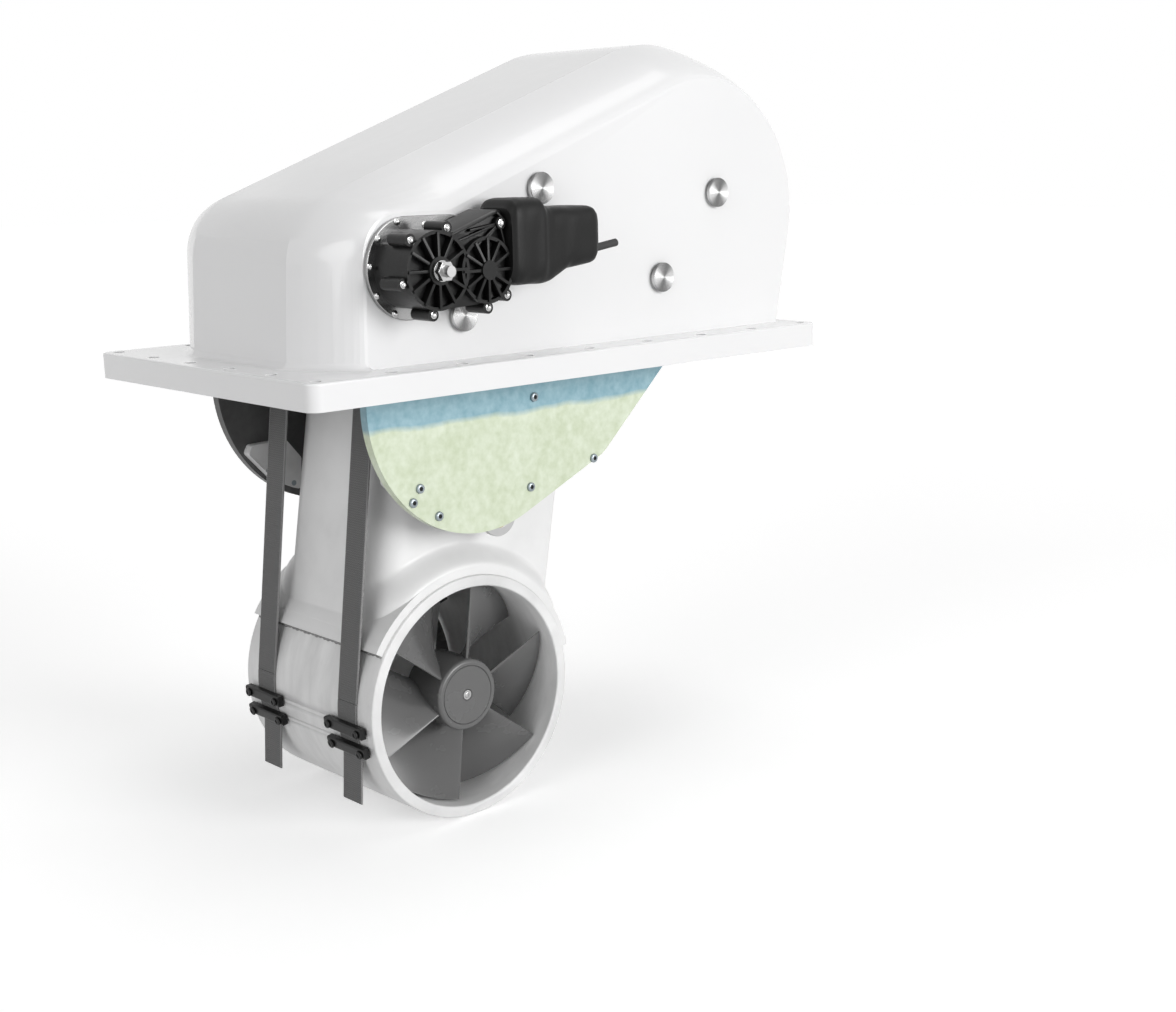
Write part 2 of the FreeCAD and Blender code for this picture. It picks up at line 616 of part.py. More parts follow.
# Side plates: laminate sheets that hang from the housing and carry the arms and the guide track.
def plate_outline_low():
    """The part of a side plate that shows under the flange."""
    centre = Vector(d.plate_round_x, d.plate_round_z, 0)
    slope, rise = math.radians(d.plate_slope), math.radians(d.plate_rise)
    left = Vector(centre.x - d.plate_round, 0, 0)
    arc_start = centre - Vector(d.plate_round, 0, 0)
    arc_end = centre + Vector(math.sin(slope), -math.cos(slope), 0) * d.plate_round
    lowest = centre - Vector(0, d.plate_round, 0)
    # the corner of the straight lower edge and the rear edge
    across = math.sin(rise - slope)
    gap = Vector(d.plate_rear_x, d.plate_rear_z, 0) - arc_end
    run = (gap.x * math.sin(rise) - gap.y * math.cos(rise)) / across
    corner = arc_end + Vector(math.cos(slope), math.sin(slope), 0) * run
    rear_top = Vector(d.plate_rear_x - d.plate_rear_z / math.tan(rise), 0, 0)
    half = math.pi / 2 - (rise - slope) / 2
    reach = d.plate_corner / math.tan(half)
    before = corner - Vector(math.cos(slope), math.sin(slope), 0) * reach
    after = corner + Vector(math.cos(rise), math.sin(rise), 0) * reach
    inward = Vector(-math.sin((rise + slope) / 2), math.cos((rise + slope) / 2), 0)
    arc_middle = corner + inward * d.plate_corner * (1 / math.sin(half) - 1)
    return [
        Part.LineSegment(left, arc_start),
        Part.Arc(arc_start, lowest, arc_end),
        Part.LineSegment(arc_end, before),
        Part.Arc(before, arc_middle, after),
        Part.LineSegment(after, rear_top),
        Part.LineSegment(rear_top, left),
    ]


def plate_outline_high():
    """The part of a side plate inside the housing, before the housing's own shape trims it."""
    rise = math.radians(d.plate_rise)
    rear_foot = d.plate_rear_x - d.plate_rear_z / math.tan(rise)
    rear_x = leg_point(TUNNEL_UP, d.stowed_lean, d.guide_up, d.guide_aside).x + d.plate_past_track
    high = d.crown_z + 2 * d.crown_round
    left = d.winch_x - d.plate_past_winch
    step_x = d.pivot_x + d.plate_step_x
    return outline([
        (left, 0), (rear_foot, 0), (rear_x, (rear_x - rear_foot) * math.tan(rise)), (rear_x, high),
        (step_x, high), (step_x, d.pivot_z + d.plate_step_z),
        (d.pivot_x - d.plate_ramp_x, d.pivot_z + d.plate_ramp_z), (left, d.pivot_z - d.plate_notch),
    ])


def track_outline():
    """The guide track: the path of the guide pin's centre, widened to both sides, with round ends."""
    steps = 12
    centres = []
    for index in range(steps + 1):
        tunnel, lean = leg_state(index / steps)
        place = leg_point(tunnel, lean, d.guide_up, d.guide_aside)
        centres.append(Vector(place.x, place.z, 0))
    half = d.shoe_dia / 2 + d.track_play
    left, right = [], []
    for index, here in enumerate(centres):
        ahead = centres[min(index + 1, steps)] - centres[max(index - 1, 0)]
        ahead.normalize()
        side = Vector(-ahead.y, ahead.x, 0) * half
        left.append(here + side)
        right.append(here - side)
    first = (centres[1] - centres[0]).normalize() * half
    last = (centres[-1] - centres[-2]).normalize() * half
    upper, lower = Part.BSplineCurve(), Part.BSplineCurve()
    upper.interpolate(left)
    lower.interpolate(right)
    return [upper, Part.Arc(left[-1], centres[-1] + last, right[-1]), lower,
            Part.Arc(right[0], centres[0] - first, left[0])]


def on_plate(*place):
    """Moves an x and z, and leaves a radius, from the centre of the plate's lower arc to the frame."""
    return (place[0] + d.plate_round_x, place[1] + d.plate_round_z) + place[2:]


BLOCK_SCREWS = [on_plate(*place) for place in ((-63, -64), (-70, -74), (-46, -88))]
PLATE_SCREWS = BLOCK_SCREWS + [on_plate(*place) for place in ((54, -7), (118, -65), (48, -79))]
BLOCK_CORNERS = [on_plate(*place) for place in (
    (-88, -58, 3), (-84, -51, 3), (-51, -50, 3), (-37, -67, 4), (-39, -95, 3), (-65, -83, 20))]


def make_side_plates():
    trim = moulding(d.shell_half - d.shell_wall, d.shell_wall + d.plate_gap, PLATE_STEPS)
    for name, side in SIDES:
        low = padded(f"plate_low_{name}", "XZ_Plane", plate_outline_low(), "plate_thick", side > 0)
        high = padded(f"plate_high_{name}", "XZ_Plane", plate_outline_high(), "plate_thick", side > 0)
        for body in (low, high):
            bind(body, Placement__Base__y=f"{side} * plate_inner")
        inside = common(f"plate_inside_{name}", high, solid(f"housing_hollow_{name}", trim))
        sheet_form = fuse(f"plate_sheet_{name}", low, inside)
        out = f"{side} * plate_inner"
        turn = ALONG_Y if side > 0 else ALONG_Y.inverted()
        holes = [rod(f"plate_hole_{name}", "pivot_dia / 2", "plate_thick", ("pivot_x", out, "pivot_z"), turn)]
        holes += [rod(f"plate_hole_{name}", "fixing_dia / 2", "plate_thick", (str(x), out, str(z)), turn)
                  for x, z in FIXINGS]
        holes += [rod(f"plate_hole_{name}", "screw_shank_dia / 2", "plate_thick", (str(x), out, str(z)), turn)
                  for x, z in PLATE_SCREWS]
        track = prism(track_outline(), side * d.plate_inner, side * (d.plate_inner + d.track_depth))
        node(cut(f"plate_{name}", sheet_form, solid(f"guide_track_{name}", track), *holes),
             f"side_plate_{name}")
        inner_face = f"{side} * (plate_inner - block_thick)"
        form = padded(f"block_{name}", "XZ_Plane", rounded(BLOCK_CORNERS), "block_thick", side > 0)
        bind(form, Placement__Base__y=inner_face)
        drilled = [rod(f"block_hole_{name}", "screw_shank_dia / 2", "block_thick",
                       (str(x), inner_face, str(z)), turn) for x, z in BLOCK_SCREWS]
        node(cut(f"block_drilled_{name}", form, *drilled), f"stop_block_{name}")


def make_plate_screws():
    screws = []
    for name, side in SIDES:
        turn = ALONG_Y if side > 0 else ALONG_Y.inverted()
        face = f"{side} * (plate_inner + plate_thick)"
        for x, z in PLATE_SCREWS:
            deep = "plate_thick + block_thick" if (x, z) in BLOCK_SCREWS else "plate_thick"
            foot = f"{side} * (plate_inner + plate_thick - ({deep}))"
            head = rod(f"screw_head_{name}", "screw_head_dia / 2", "screw_head", (str(x), face, str(z)), turn)
            shank = rod(f"screw_shank_{name}", "screw_shank_dia / 2", deep, (str(x), foot, str(z)), turn)
            screws.append(fuse(f"plate_screw_{name}", head, shank))
    node(group("plate_screw_set", *screws), "plate_screws")


make_side_plates()
make_plate_screws()


# Bolts through the side walls, each under a turned cap with a seal ring.
def make_fixings():
    caps, seals, bolts, pivots = [], [], [], []
    for name, side in SIDES:
        turn = ALONG_Y if side > 0 else ALONG_Y.inverted()
        wall, seat = f"{side} * shell_half", f"{side} * (shell_half + seal_thick)"
        for x, z in CAP_PLACES:
            cap = rod(f"cap_disc_{name}", "cap_dia / 2", "cap_height", (str(x), seat, str(z)), turn)
            eye = "pivot_dia / 2" if x == d.pivot_x else "fixing_dia / 2"
            caps.append(cap)
            seals.append(ring(f"cap_seal_{name}", "cap_dia / 2 - cap_edge", eye, "seal_thick",
                              (str(x), wall, str(z)), turn))
        for x, z in FIXINGS:
            bolts.append(rod(f"fixing_bolt_{name}", "fixing_dia / 2", "shell_half + seal_thick - plate_inner",
                             (str(x), f"{side} * plate_inner", str(z)), turn))
        inner = "plate_inner - arm_gap - arm_thick - head_gap"
        stem = rod(f"pivot_stem_{name}", "pivot_dia / 2", f"shell_half + seal_thick - ({inner})",
                   ("pivot_x", f"{side} * ({inner})", "pivot_z"), turn)
        head = rod(f"pivot_head_{name}", "pivot_dia / 2 + bush_wall", f"{inner} - tunnel_half - tunnel_clear",
                   ("pivot_x", f"{side} * (tunnel_half + tunnel_clear)", "pivot_z"), turn)
        pivots.append(fuse(f"pivot_bolt_{name}", stem, head))
    node(group("cap_set", *caps), "bolt_caps")
    node(group("seal_set", *seals), "cap_seals")
    node(group("bolt_set", *bolts), "fixing_bolts")
    node(group("pivot_set", *pivots), "pivot_bolts")


make_fixings()


# Swing arms with a bush in each eye.
def make_arms():
    bushes = []
    eyes = [(PIVOT.x, PIVOT.z), (PIN_DOWN.x, PIN_DOWN.z)]
    along = (PIN_DOWN - PIVOT).normalize()
    first, last = PIVOT + along * d.arm_window_inset, PIN_DOWN - along * d.arm_window_inset
    for name, side in SIDES:
        turn = ALONG_Y if side > 0 else ALONG_Y.inverted()
        belt = hull_of_circles(PIVOT.x, PIVOT.z, d.arm_width / 2, PIN_DOWN.x, PIN_DOWN.z, d.arm_width / 2)
        face = f"{side} * (plate_inner - arm_gap - arm_thick)"
        form = padded(f"arm_form_{name}", "XZ_Plane", belt, "arm_thick", side > 0)
        bind(form, Placement__Base__y=face)
        slot = hull_of_circles(first.x, first.z, d.arm_window / 2, last.x, last.z, d.arm_window / 2)
        outer = side * (d.plate_inner - d.arm_gap)
        window = solid(f"arm_window_{name}", prism(slot, outer - side * d.arm_thick, outer))
        holes = [rod(f"arm_eye_{name}", "pivot_dia / 2 + bush_wall", "arm_thick",
                     (str(x), face, str(z)), turn) for x, z in eyes]
        node(cut(f"arm_{name}", form, window, *holes), f"swing_arm_{name}")
        for x, z in eyes:
            bushes.append(ring(f"arm_bush_{name}", "pivot_dia / 2 + bush_wall", "pivot_dia / 2 + fit",
                               "arm_thick", (str(x), face, str(z)), turn))
    node(group("bush_set", *bushes), "arm_bushes")


make_arms()


# The leg's pieces are drawn with the tunnel axis at the origin and the leg upright, then leaned.
def block_outline(depth, width, corner):
    return rounded([(-depth / 2, -width / 2, corner), (depth / 2, -width / 2, corner),
                    (depth / 2, width / 2, corner), (-depth / 2, width / 2, corner)])


def collar_sector():
    """A wedge that keeps the upper stretch of the collar, each side of the leg axis."""
    reach = d.bore
    angle = math.radians(d.collar_angle)
    side = Vector(math.sin(angle), math.cos(angle), 0) * reach
    corners = [(0, 0), (side.x, side.y), (side.x, reach), (-side.x, reach), (-side.x, side.y)]
    return prism(outline(corners), -d.collar_half, d.collar_half)


def make_leg_casing():
    trunk = padded("trunk", "XY_Plane", block_outline(d.leg_depth, d.leg_width, d.leg_corner),
                   "leg_length - bore / 4")
    bind(trunk, Placement__Base__z="bore / 4")
    collar = common("collar", rod("collar_round", "bore / 2 + tunnel_wall + collar_wall", "2 * collar_half",
                                  ("0", "-collar_half", "0")), solid("collar_wedge", collar_sector()))
    bosses = []
    for name, side in SIDES:
        turn = ALONG_Y if side > 0 else ALONG_Y.inverted()
        reach = "plate_inner - arm_gap - arm_thick - boss_gap - leg_width / 2 + leg_wall"
        start = f"{side} * (leg_width / 2 - leg_wall)"
        bosses.append(rod(f"pin_boss_{name}", "boss_dia / 2", reach, ("0", start, str(PIN_UP)), turn))
        bosses.append(rod(f"guide_boss_{name}", "guide_boss_dia / 2", reach,
                          ("guide_aside", start, "guide_up"), turn))
    whole = fuse("leg_whole", trunk, collar, *bosses)
    hollow = padded("leg_hollow", "XY_Plane", block_outline(
        d.leg_depth - 2 * d.leg_wall, d.leg_width - 2 * d.leg_wall, d.leg_corner - d.leg_wall),
        "leg_length - leg_deck")
    bind(hollow, Placement__Base__z="leg_deck")
    tunnel = rod("tunnel_seat", "bore / 2 + tunnel_wall", "2 * tunnel_half", ("0", "-tunnel_half", "0"))
    shaft_way = rod("shaft_way", "drive_dia / 2 + way_gap", "leg_deck", ("0", "0", "0"), ALONG_Z)
    bearing_seat = rod("bearing_seat", "drive_dia", "drive_dia", ("0", "0", "leg_deck - drive_dia"), ALONG_Z)
    pin_ways = []
    for name, side in SIDES:
        turn = ALONG_Y if side > 0 else ALONG_Y.inverted()
        start = f"{side} * (leg_width / 2 - leg_wall)"
        pin_ways.append(rod(f"pin_way_{name}", "pivot_dia / 2", "leg_width", ("0", start, str(PIN_UP)), turn))
        pin_ways.append(rod(f"guide_way_{name}", "guide_dia / 2", "leg_width",
                            ("guide_aside", start, "guide_up"), turn))
    node(cut("leg_form", whole, tunnel, hollow, shaft_way, bearing_seat, *pin_ways), "leg_casing", LEG)


def make_tunnel():
    pipe = ring("tunnel_pipe", "bore / 2 + tunnel_wall", "bore / 2", "2 * tunnel_half",
                ("0", "-tunnel_half", "0"))
    way = rod("tunnel_shaft_way", "drive_dia / 2 + way_gap", "bore", ("0", "0", "0"), ALONG_Z)
    screw_ways = clamp_rods("tunnel_screw_way", "bore / 2 + tunnel_wall / 2", "tunnel_wall",
                            CLAMP_SCREW_DIA / 2)
    drilled = cut("tunnel_drilled", pipe, way, *screw_ways)
    doc.recompute()
    lip = doc.addObject("Part::Fillet", "tunnel_lips")
    lip.Base = drilled
    rims = [index + 1 for index, edge in enumerate(drilled.Shape.Edges)
            if edge.BoundBox.YLength < 0.01 and edge.BoundBox.XLength > d.bore - 1]
    lip.Edges = [(index, d.tunnel_lip, d.tunnel_lip) for index in rims]
    node(lip, "tunnel_tube", LEG)


CLAMP_SCREW_DIA = 4
CLAMP_SCREW_PLACES = (-19, 19)
CLAMP_HEAD_DIA = 6.4
CLAMP_HEAD = 2
CLAMP_EDGE = 1.5


def clamp_turn(index):
    return Rotation(Vector(0, 1, 0), -(d.clamp_first + index * d.clamp_step))


def clamp_rods(name, start, length, radius):
    """One rod per clamp screw, from a radius outwards; start and length are expressions."""
    rods = []
    for _, side in SIDES:
        for index in range(2):
            turn = clamp_turn(index)
            for place in CLAMP_SCREW_PLACES:
                item = doc.addObject("Part::Cylinder", name)
                item.Radius = radius
                bind(item, Height=length)
                outward = turn.multVec(Vector(0, 0, 1))
                item.Placement = Placement(Vector(0, side * d.strap_y + place, 0), turn)
                bind(item, Placement__Base__x=f"({start}) * {outward.x}",
                     Placement__Base__z=f"({start}) * {outward.z}")
                rods.append(item)
    return rods


def make_clamps():
    bars = []
    low = d.bore / 2 + d.tunnel_wall + d.strap_thick
    for _, side in SIDES:
        for index in range(2):
            form = Part.makeBox(d.clamp_width, d.clamp_length, d.clamp_thick,
                                Vector(-d.clamp_width / 2, side * d.strap_y - d.clamp_length / 2, low))
            long_edges = [edge for edge in form.Edges
                          if edge.BoundBox.YLength > 1 and edge.BoundBox.ZMin > low + 1]
            form = form.makeFillet(CLAMP_EDGE, long_edges)
            form.Placement = Placement(Vector(), clamp_turn(index))
            bars.append(solid("clamp_bar", form))
    ways = clamp_rods("clamp_way", f"{low - 1}", f"{d.clamp_thick + 2}", CLAMP_SCREW_DIA / 2)
    drilled = [cut("clamp_drilled", bar, *ways[2 * index:2 * index + 2]) for index, bar in enumerate(bars)]
    node(group("clamp_set", *drilled), "strap_clamps", LEG)
    foot = d.bore / 2 + d.tunnel_wall / 2
    top = low + d.clamp_thick
    shanks = clamp_rods("clamp_shank", f"{foot}", f"{top - foot}", CLAMP_SCREW_DIA / 2)
    heads = clamp_rods("clamp_head", f"{top}", f"{CLAMP_HEAD}", CLAMP_HEAD_DIA / 2)
    screws = [fuse("clamp_screw", shank, head) for shank, head in zip(shanks, heads)]
    node(group("clamp_screw_set", *screws), "clamp_screws", LEG)


def make_gear_leg():
    pod = turned("pod", [(0, -d.pod_half), (d.pod_dia / 2 - 3, -d.pod_half), (d.pod_dia / 2, -d.pod_half + 4),
                         (d.pod_dia / 2, d.pod_half - 4), (d.pod_dia / 2 - 3, d.pod_half), (0, d.pod_half)])
    pod.Placement = Placement(Vector(), ALONG_Y)
    long, short = d.strut_depth / 2, d.strut_width / 2
    section = Part.Ellipse(Vector(), long, short).toShape()
    strut = Part.Face(Part.Wire(section)).extrude(Vector(0, 0, d.bore))
    trimmed = common("strut", solid("strut_form", strut),
                     rod("strut_top", "bore / 2", "strut_depth", ("0", "-strut_depth / 2", "0")))
    body = fuse("gear_leg_whole", pod, trimmed)
    inner = "(pod_half - bearing_length - lip_seal)"
    cavity = rod("gear_room", "bevel_round + 3", f"2 * {inner}", ("0", f"-{inner}", "0"))
    way = rod("strut_way", "drive_dia / 2 + way_gap", "bore", ("0", "0", "0"), ALONG_Z)
    room = rod("pinion_room", "pinion_round + 1.5", "bevel_round + 12", ("0", "0", "0"), ALONG_Z)
    seats = rod("shaft_seats", "prop_shaft_dia / 2 + bearing_wall", "2 * pod_half", ("0", "-pod_half", "0"))
    node(cut("gear_leg_form", body, cavity, way, room, seats), "gear_leg", LEG)


def make_leg_inner():
    radius, length, edge = d.motor_dia / 2, d.motor_length, 3
    motor = turned("motor_form", [(0, 0), (radius - edge, 0), (radius, edge), (radius, length - edge),
                                  (radius - edge, length), (0, length)])
    room = rod("armature_room", "motor_dia / 2 - motor_wall", "motor_length - 2 * motor_end",
               ("0", "0", "motor_end"), ALONG_Z)
    way = rod("armature_way", "drive_dia / 2 + way_gap", "motor_length", ("0", "0", "0"), ALONG_Z)
    case = cut("motor_case_form", motor, room, way)
    node(case, "drive_motor_case", LEG.multiply(Placement(Vector(0, 0, d.leg_deck), ALONG_Z)))
    top, dome = d.leg_deck + d.motor_length, d.motor_top / 2
    cap = turned("motor_cap_form", [(0, 0), (radius - edge, 0), (radius - edge, dome),
                                    (radius - edge - dome, d.motor_top), (0, d.motor_top)])
    node(cap, "drive_motor_cap", LEG.multiply(Placement(Vector(0, 0, top), ALONG_Z)))
    studs = []
    for side in (-1, 1):
        foot = (f"{side} * stud_aside", "0", "leg_deck + motor_length + motor_top")
        studs.append(fuse("terminal", rod("stud", "stud_dia / 2", "stud_length", foot, ALONG_Z),
                          rod("stud_collar", "stud_nut_dia / 2", "stud_nut", foot, ALONG_Z)))
    node(group("terminal_set", *studs), "motor_terminals", LEG)
    upper = ring("upper_bearing", "drive_dia", "drive_dia / 2 + fit", "drive_dia",
                 ("0", "0", "leg_deck - drive_dia"), ALONG_Z)
    node(upper, "drive_bearing", LEG)
    bearings, seals = [], []
    for name, side in SIDES:
        turn = ALONG_Y if side > 0 else ALONG_Y.inverted()
        outer = "prop_shaft_dia / 2 + bearing_wall"
        bearings.append(ring(f"prop_bearing_{name}", outer, "prop_shaft_dia / 2 + fit", "bearing_length",
                             ("0", f"{side} * (pod_half - lip_seal - bearing_length)", "0"), turn))
        seals.append(ring(f"prop_seal_{name}", outer, "prop_shaft_dia / 2 + fit", "lip_seal",
                          ("0", f"{side} * (pod_half - lip_seal)", "0"), turn))
    node(group("prop_bearing_set", *bearings), "prop_bearings", LEG)
    node(group("prop_seal_set", *seals), "prop_seals", LEG)
    pins, guides, shoes = [], [], []
    for name, side in SIDES:
        turn = ALONG_Y if side > 0 else ALONG_Y.inverted()
        start = f"{side} * (leg_width / 2 - leg_wall)"
        pins.append(rod(f"arm_pin_{name}", "pivot_dia / 2",
                        "plate_inner - arm_gap - leg_width / 2 + leg_wall", ("0", start, str(PIN_UP)), turn))
        guides.append(rod(f"guide_pin_{name}", "guide_dia / 2",
                          "plate_inner + track_depth - track_end_play - leg_width / 2 + leg_wall",
                          ("guide_aside", start, "guide_up"), turn))
        shoes.append(ring(f"guide_shoe_{name}", "shoe_dia / 2", "guide_dia / 2",
                          "track_depth - 2 * track_end_play",
                          ("guide_aside", f"{side} * (plate_inner + track_end_play)", "guide_up"), turn))
    node(group("arm_pin_set", *pins), "arm_pins", LEG)
    node(group("guide_pin_set", *guides), "guide_pins", LEG)
    node(group("guide_shoe_set", *shoes), "guide_shoes", LEG)


make_leg_casing()
make_tunnel()
make_clamps()
make_gear_leg()
make_leg_inner()


# Drive line: armature and shaft down the leg, a bevel pinion, and a bevel gear on each propeller shaft.
def make_drive():
    taper, toe = 0.7, 2
    foot, back = d.bevel_round * taper, d.bevel_round + d.pinion_back
    start = "bevel_round + pinion_back"
    shaft = rod("drive_rod", "drive_dia / 2", f"leg_deck + motor_length - motor_end - ({start})",
                ("0", "0", start), ALONG_Z)
    node(group("drive_rod_set", shaft), "drive_shaft", LEG)
    wound = ring("armature_core", "motor_dia / 2 - motor_wall - rotor_gap", "drive_dia / 2",
                 "motor_length - 2 * (motor_end + rotor_end_gap)",
                 ("0", "0", "leg_deck + motor_end + rotor_end_gap"), ALONG_Z)
    node(wound, "armature", LEG)
    small, large = d.pinion_round * taper, d.pinion_round
    pinion = turned("pinion_form", [(0, foot - toe), (small, foot - toe), (small, foot),
                                    (large, d.bevel_round), (large, back), (0, back)])
    node(pinion, "bevel_pinion", LEG)
    for name, side in SIDES:
        turn = ALONG_Y if side > 0 else ALONG_Y.inverted()
        seat = LEG.multiply(Placement(Vector(), turn))
        front = d.pinion_round * taper + d.bevel_gap
        rim, end = d.pinion_round + 2 * d.bevel_gap, d.pinion_round + d.bevel_gap + d.bevel_back
        gear = turned(f"bevel_form_{name}", [
            (0, front), (d.bevel_round * taper, front), (d.bevel_round, rim),
            (d.bevel_round, end - d.bevel_back / 2), (d.bevel_round - d.bevel_back / 2, end), (0, end)])
        bored = cut(f"bevel_bored_{name}", gear, rod(f"bevel_eye_{name}", "prop_shaft_dia / 2", "bore",
                                                      ("0", "0", "0"), ALONG_Z))
        node(bored, f"bevel_gear_{name}", seat)
        shaft = rod(f"prop_rod_{name}", "prop_shaft_dia / 2",
                    f"prop_face - prop_bolt_depth - prop_web - {front}", ("0", "0", str(front)), ALONG_Z)
        bolt = rod(f"prop_bolt_{name}", "prop_bolt_dia / 2", "prop_bolt_depth - 0.6",
                   ("0", "0", "prop_face - prop_bolt_depth"), ALONG_Z)
        node(group(f"prop_shaft_set_{name}", shaft, bolt), f"prop_shaft_{name}", seat)


# Blade sections from inside the hub to beyond the tip: radius, chord, pitch angle, skew, thickness.
BLADE_SECTIONS = [
    (18, 34, 60, 0, 6.5),
    (40, 47, 46, 3, 5.2),
    (60, 61, 37, 9, 4.0),
    (78, 73, 31, 17, 3.0),
    (96, 84, 27, 27, 2.2),
]
BLADE_CAMBER = 0.07


def blade():
    """A loft through flat lens sections, each across its own radius and turned by its skew."""
    wires = []
    for radius, chord, pitch, skew, thick in BLADE_SECTIONS:
        lean = math.radians(pitch)
        along = Vector(0, math.cos(lean), math.sin(lean))
        across = Vector(0, -math.sin(lean), math.cos(lean))
        centre = Vector(radius, 0, d.prop_face - d.prop_hub / 2)
        nose, tail = centre + along * chord / 2, centre - along * chord / 2
        back = centre + across * (chord * BLADE_CAMBER + thick / 2)
        face = centre + across * (chord * BLADE_CAMBER - thick / 2)
        wire = Part.Wire([Part.Arc(nose, back, tail).toShape(), Part.Arc(tail, face, nose).toShape()])
        wire.rotate(Vector(), Vector(0, 0, 1), skew)
        wires.append(wire)
    return Part.makeLoft(wires, True, False)


def make_propellers():
    low = d.prop_face - d.prop_hub
    one = blade()
    sweep = Part.makeCylinder(d.prop_dia / 2, d.prop_hub - 1, Vector(0, 0, low + 0.5))
    blades = []
    for index in range(int(d.blades)):
        copy = one.copy()
        copy.rotate(Vector(), Vector(0, 0, 1), index * 360 / d.blades)
        blades.append(copy.common(sweep))
    half = d.prop_hub_dia / 2
    recess = d.prop_bolt_dia / 2 + 1
    section = rounded([(0, low, 0), (half, low, 1), (half, d.prop_face, 3), (half - 8, d.prop_face, 0),
                       (half - 8.6, d.prop_face - 1, 0), (half - 9.6, d.prop_face - 1, 0),
                       (half - 10.2, d.prop_face, 0), (recess, d.prop_face, 0),
                       (recess, d.prop_face - d.prop_bolt_depth, 0), (0, d.prop_face - d.prop_bolt_depth, 0)])
    profile = Part.Face(wire_at_y(section, 0))
    hub = profile.revolve(Vector(), Vector(0, 0, 1), 360)
    eye = Part.makeCylinder(d.prop_shaft_dia / 2, d.prop_hub - d.prop_bolt_depth - d.prop_web,
                            Vector(0, 0, low))
    whole = hub.fuse(blades).cut(eye).removeSplitter()
    for name, side in SIDES:
        form = whole if side < 0 else whole.mirror(Vector(), Vector(1, 0, 0))
        turn = ALONG_Y if side > 0 else ALONG_Y.inverted()
        node(solid(f"propeller_form_{name}", form), f"propeller_{name}",
             LEG.multiply(Placement(Vector(), turn)))


make_drive()
make_propellers()


# Winch: a shaft across the housing with a strap drum on each side of the leg.
WHEEL_Y = "-(shell_half + seat_thick + wheel_in + wheel_thick)"


def make_winch():
    near_end = d.shell_half + d.seat_thick + d.gear_case + d.gear_cover_depth
    far_end = d.shell_half - d.shell_wall - 1
    tip = near_end - d.winch_thread_start + d.winch_thread
    radius, thread, edge = d.winch_dia / 2, d.winch_thread_dia / 2, 1
    step = near_end - d.winch_thread_start
    profile = [(0, -far_end), (radius - edge, -far_end), (radius, edge - far_end), (radius, step - edge),
               (thread, step), (thread, tip), (0, tip)]
    seat = Placement(Vector(d.winch_x, 0, d.winch_z), ALONG_Y.inverted())
    node(turned("winch_rod", profile), "winch_shaft", seat)
    half = d.strap_width / 2 + d.strap_play
    coils = []
    for name, side in SIDES:
        barrel, cheek_round, end = d.drum_dia / 2, d.drum_flange_dia / 2, half + d.cheek
        section = [(radius, -end), (cheek_round, -end), (cheek_round, -half), (barrel, -half),
                   (barrel, half), (cheek_round, half), (cheek_round, end), (radius, end)]
        place = Placement(Vector(d.winch_x, side * d.strap_y, d.winch_z), ALONG_Y)
        node(turned(f"drum_{name}", section), f"strap_drum_{name}", place)
        start = f"{side} * strap_y - strap_width / 2"
        coils.append(ring(f"strap_coil_{name}", "drum_dia / 2 + strap_thick", "drum_dia / 2", "strap_width",
                          ("winch_x", start, "winch_z")))
    node(group("coil_set", *coils), "strap_coils")
    cover = "shell_half + seat_thick + gear_case + gear_cover_depth"
    washer = ring("washer_form", "washer_dia / 2", "winch_thread_dia / 2", "washer_thick",
                  ("winch_x", f"-({cover} + winch_thread_start)", "winch_z"))
    corners = [Rotation(Vector(0, 0, 1), 60 * turn).multVec(Vector(d.nut_reach, 0, 0)) for turn in range(7)]
    nut = Part.Face(Part.makePolygon(corners)).extrude(Vector(0, 0, d.nut_thick))
    hexagon = solid("nut_form", nut.cut(Part.makeCylinder(thread, d.nut_thick)))
    hexagon.Placement = Placement(Vector(d.winch_x, -(near_end + d.winch_thread_start), d.winch_z),
                                  ALONG_Y.inverted())
    node(group("nut_set", hexagon, washer), "shaft_nut")
    gear = ring("output_gear_form", "out_disc - case_wall - wheel_gap", "winch_dia / 2", "wheel_thick",
                ("winch_x", WHEEL_Y, "winch_z"))
    node(gear, "output_gear")
    bush = ring("near_bush", "winch_dia / 2 + bush_wall", "winch_dia / 2 + fit", "shell_wall",
                ("winch_x", "-shell_half", "winch_z"))
    node(bush, "shaft_bush_near")
    carrier = ring("far_bush", "winch_dia / 2 + far_bearing_wall", "winch_dia / 2 + fit", "far_bearing",
                   ("winch_x", "shell_half - shell_wall - far_bearing", "winch_z"))
    node(carrier, "shaft_bearing_far")
    seal = ring("winch_seal", "winch_dia / 2 + bush_wall", "winch_dia / 2 + fit", "seat_thick",
                ("winch_x", "-(shell_half + seat_thick)", "winch_z"))
    node(seal, "shaft_seal")


def strap_line():
    """The strap's straight run from the drum's inner side to the tunnel's outer side."""
    top_round = d.drum_dia / 2 + 1.5 * d.strap_thick + 0.2
    low_round = d.bore / 2 + d.tunnel_wall + d.strap_thick / 2
    top = Vector(d.winch_x, 0, d.winch_z)
    gap = TUNNEL_DOWN - top
    lean = math.atan2(gap.x, -gap.z)
    cross = math.asin((top_round + low_round) / gap.Length)
    angle = lean - cross
    run = Vector(math.sin(angle), 0, -math.cos(angle))
    side = Vector(-run.z, 0, run.x)
    return top + side * top_round, TUNNEL_DOWN - side * low_round, run, side


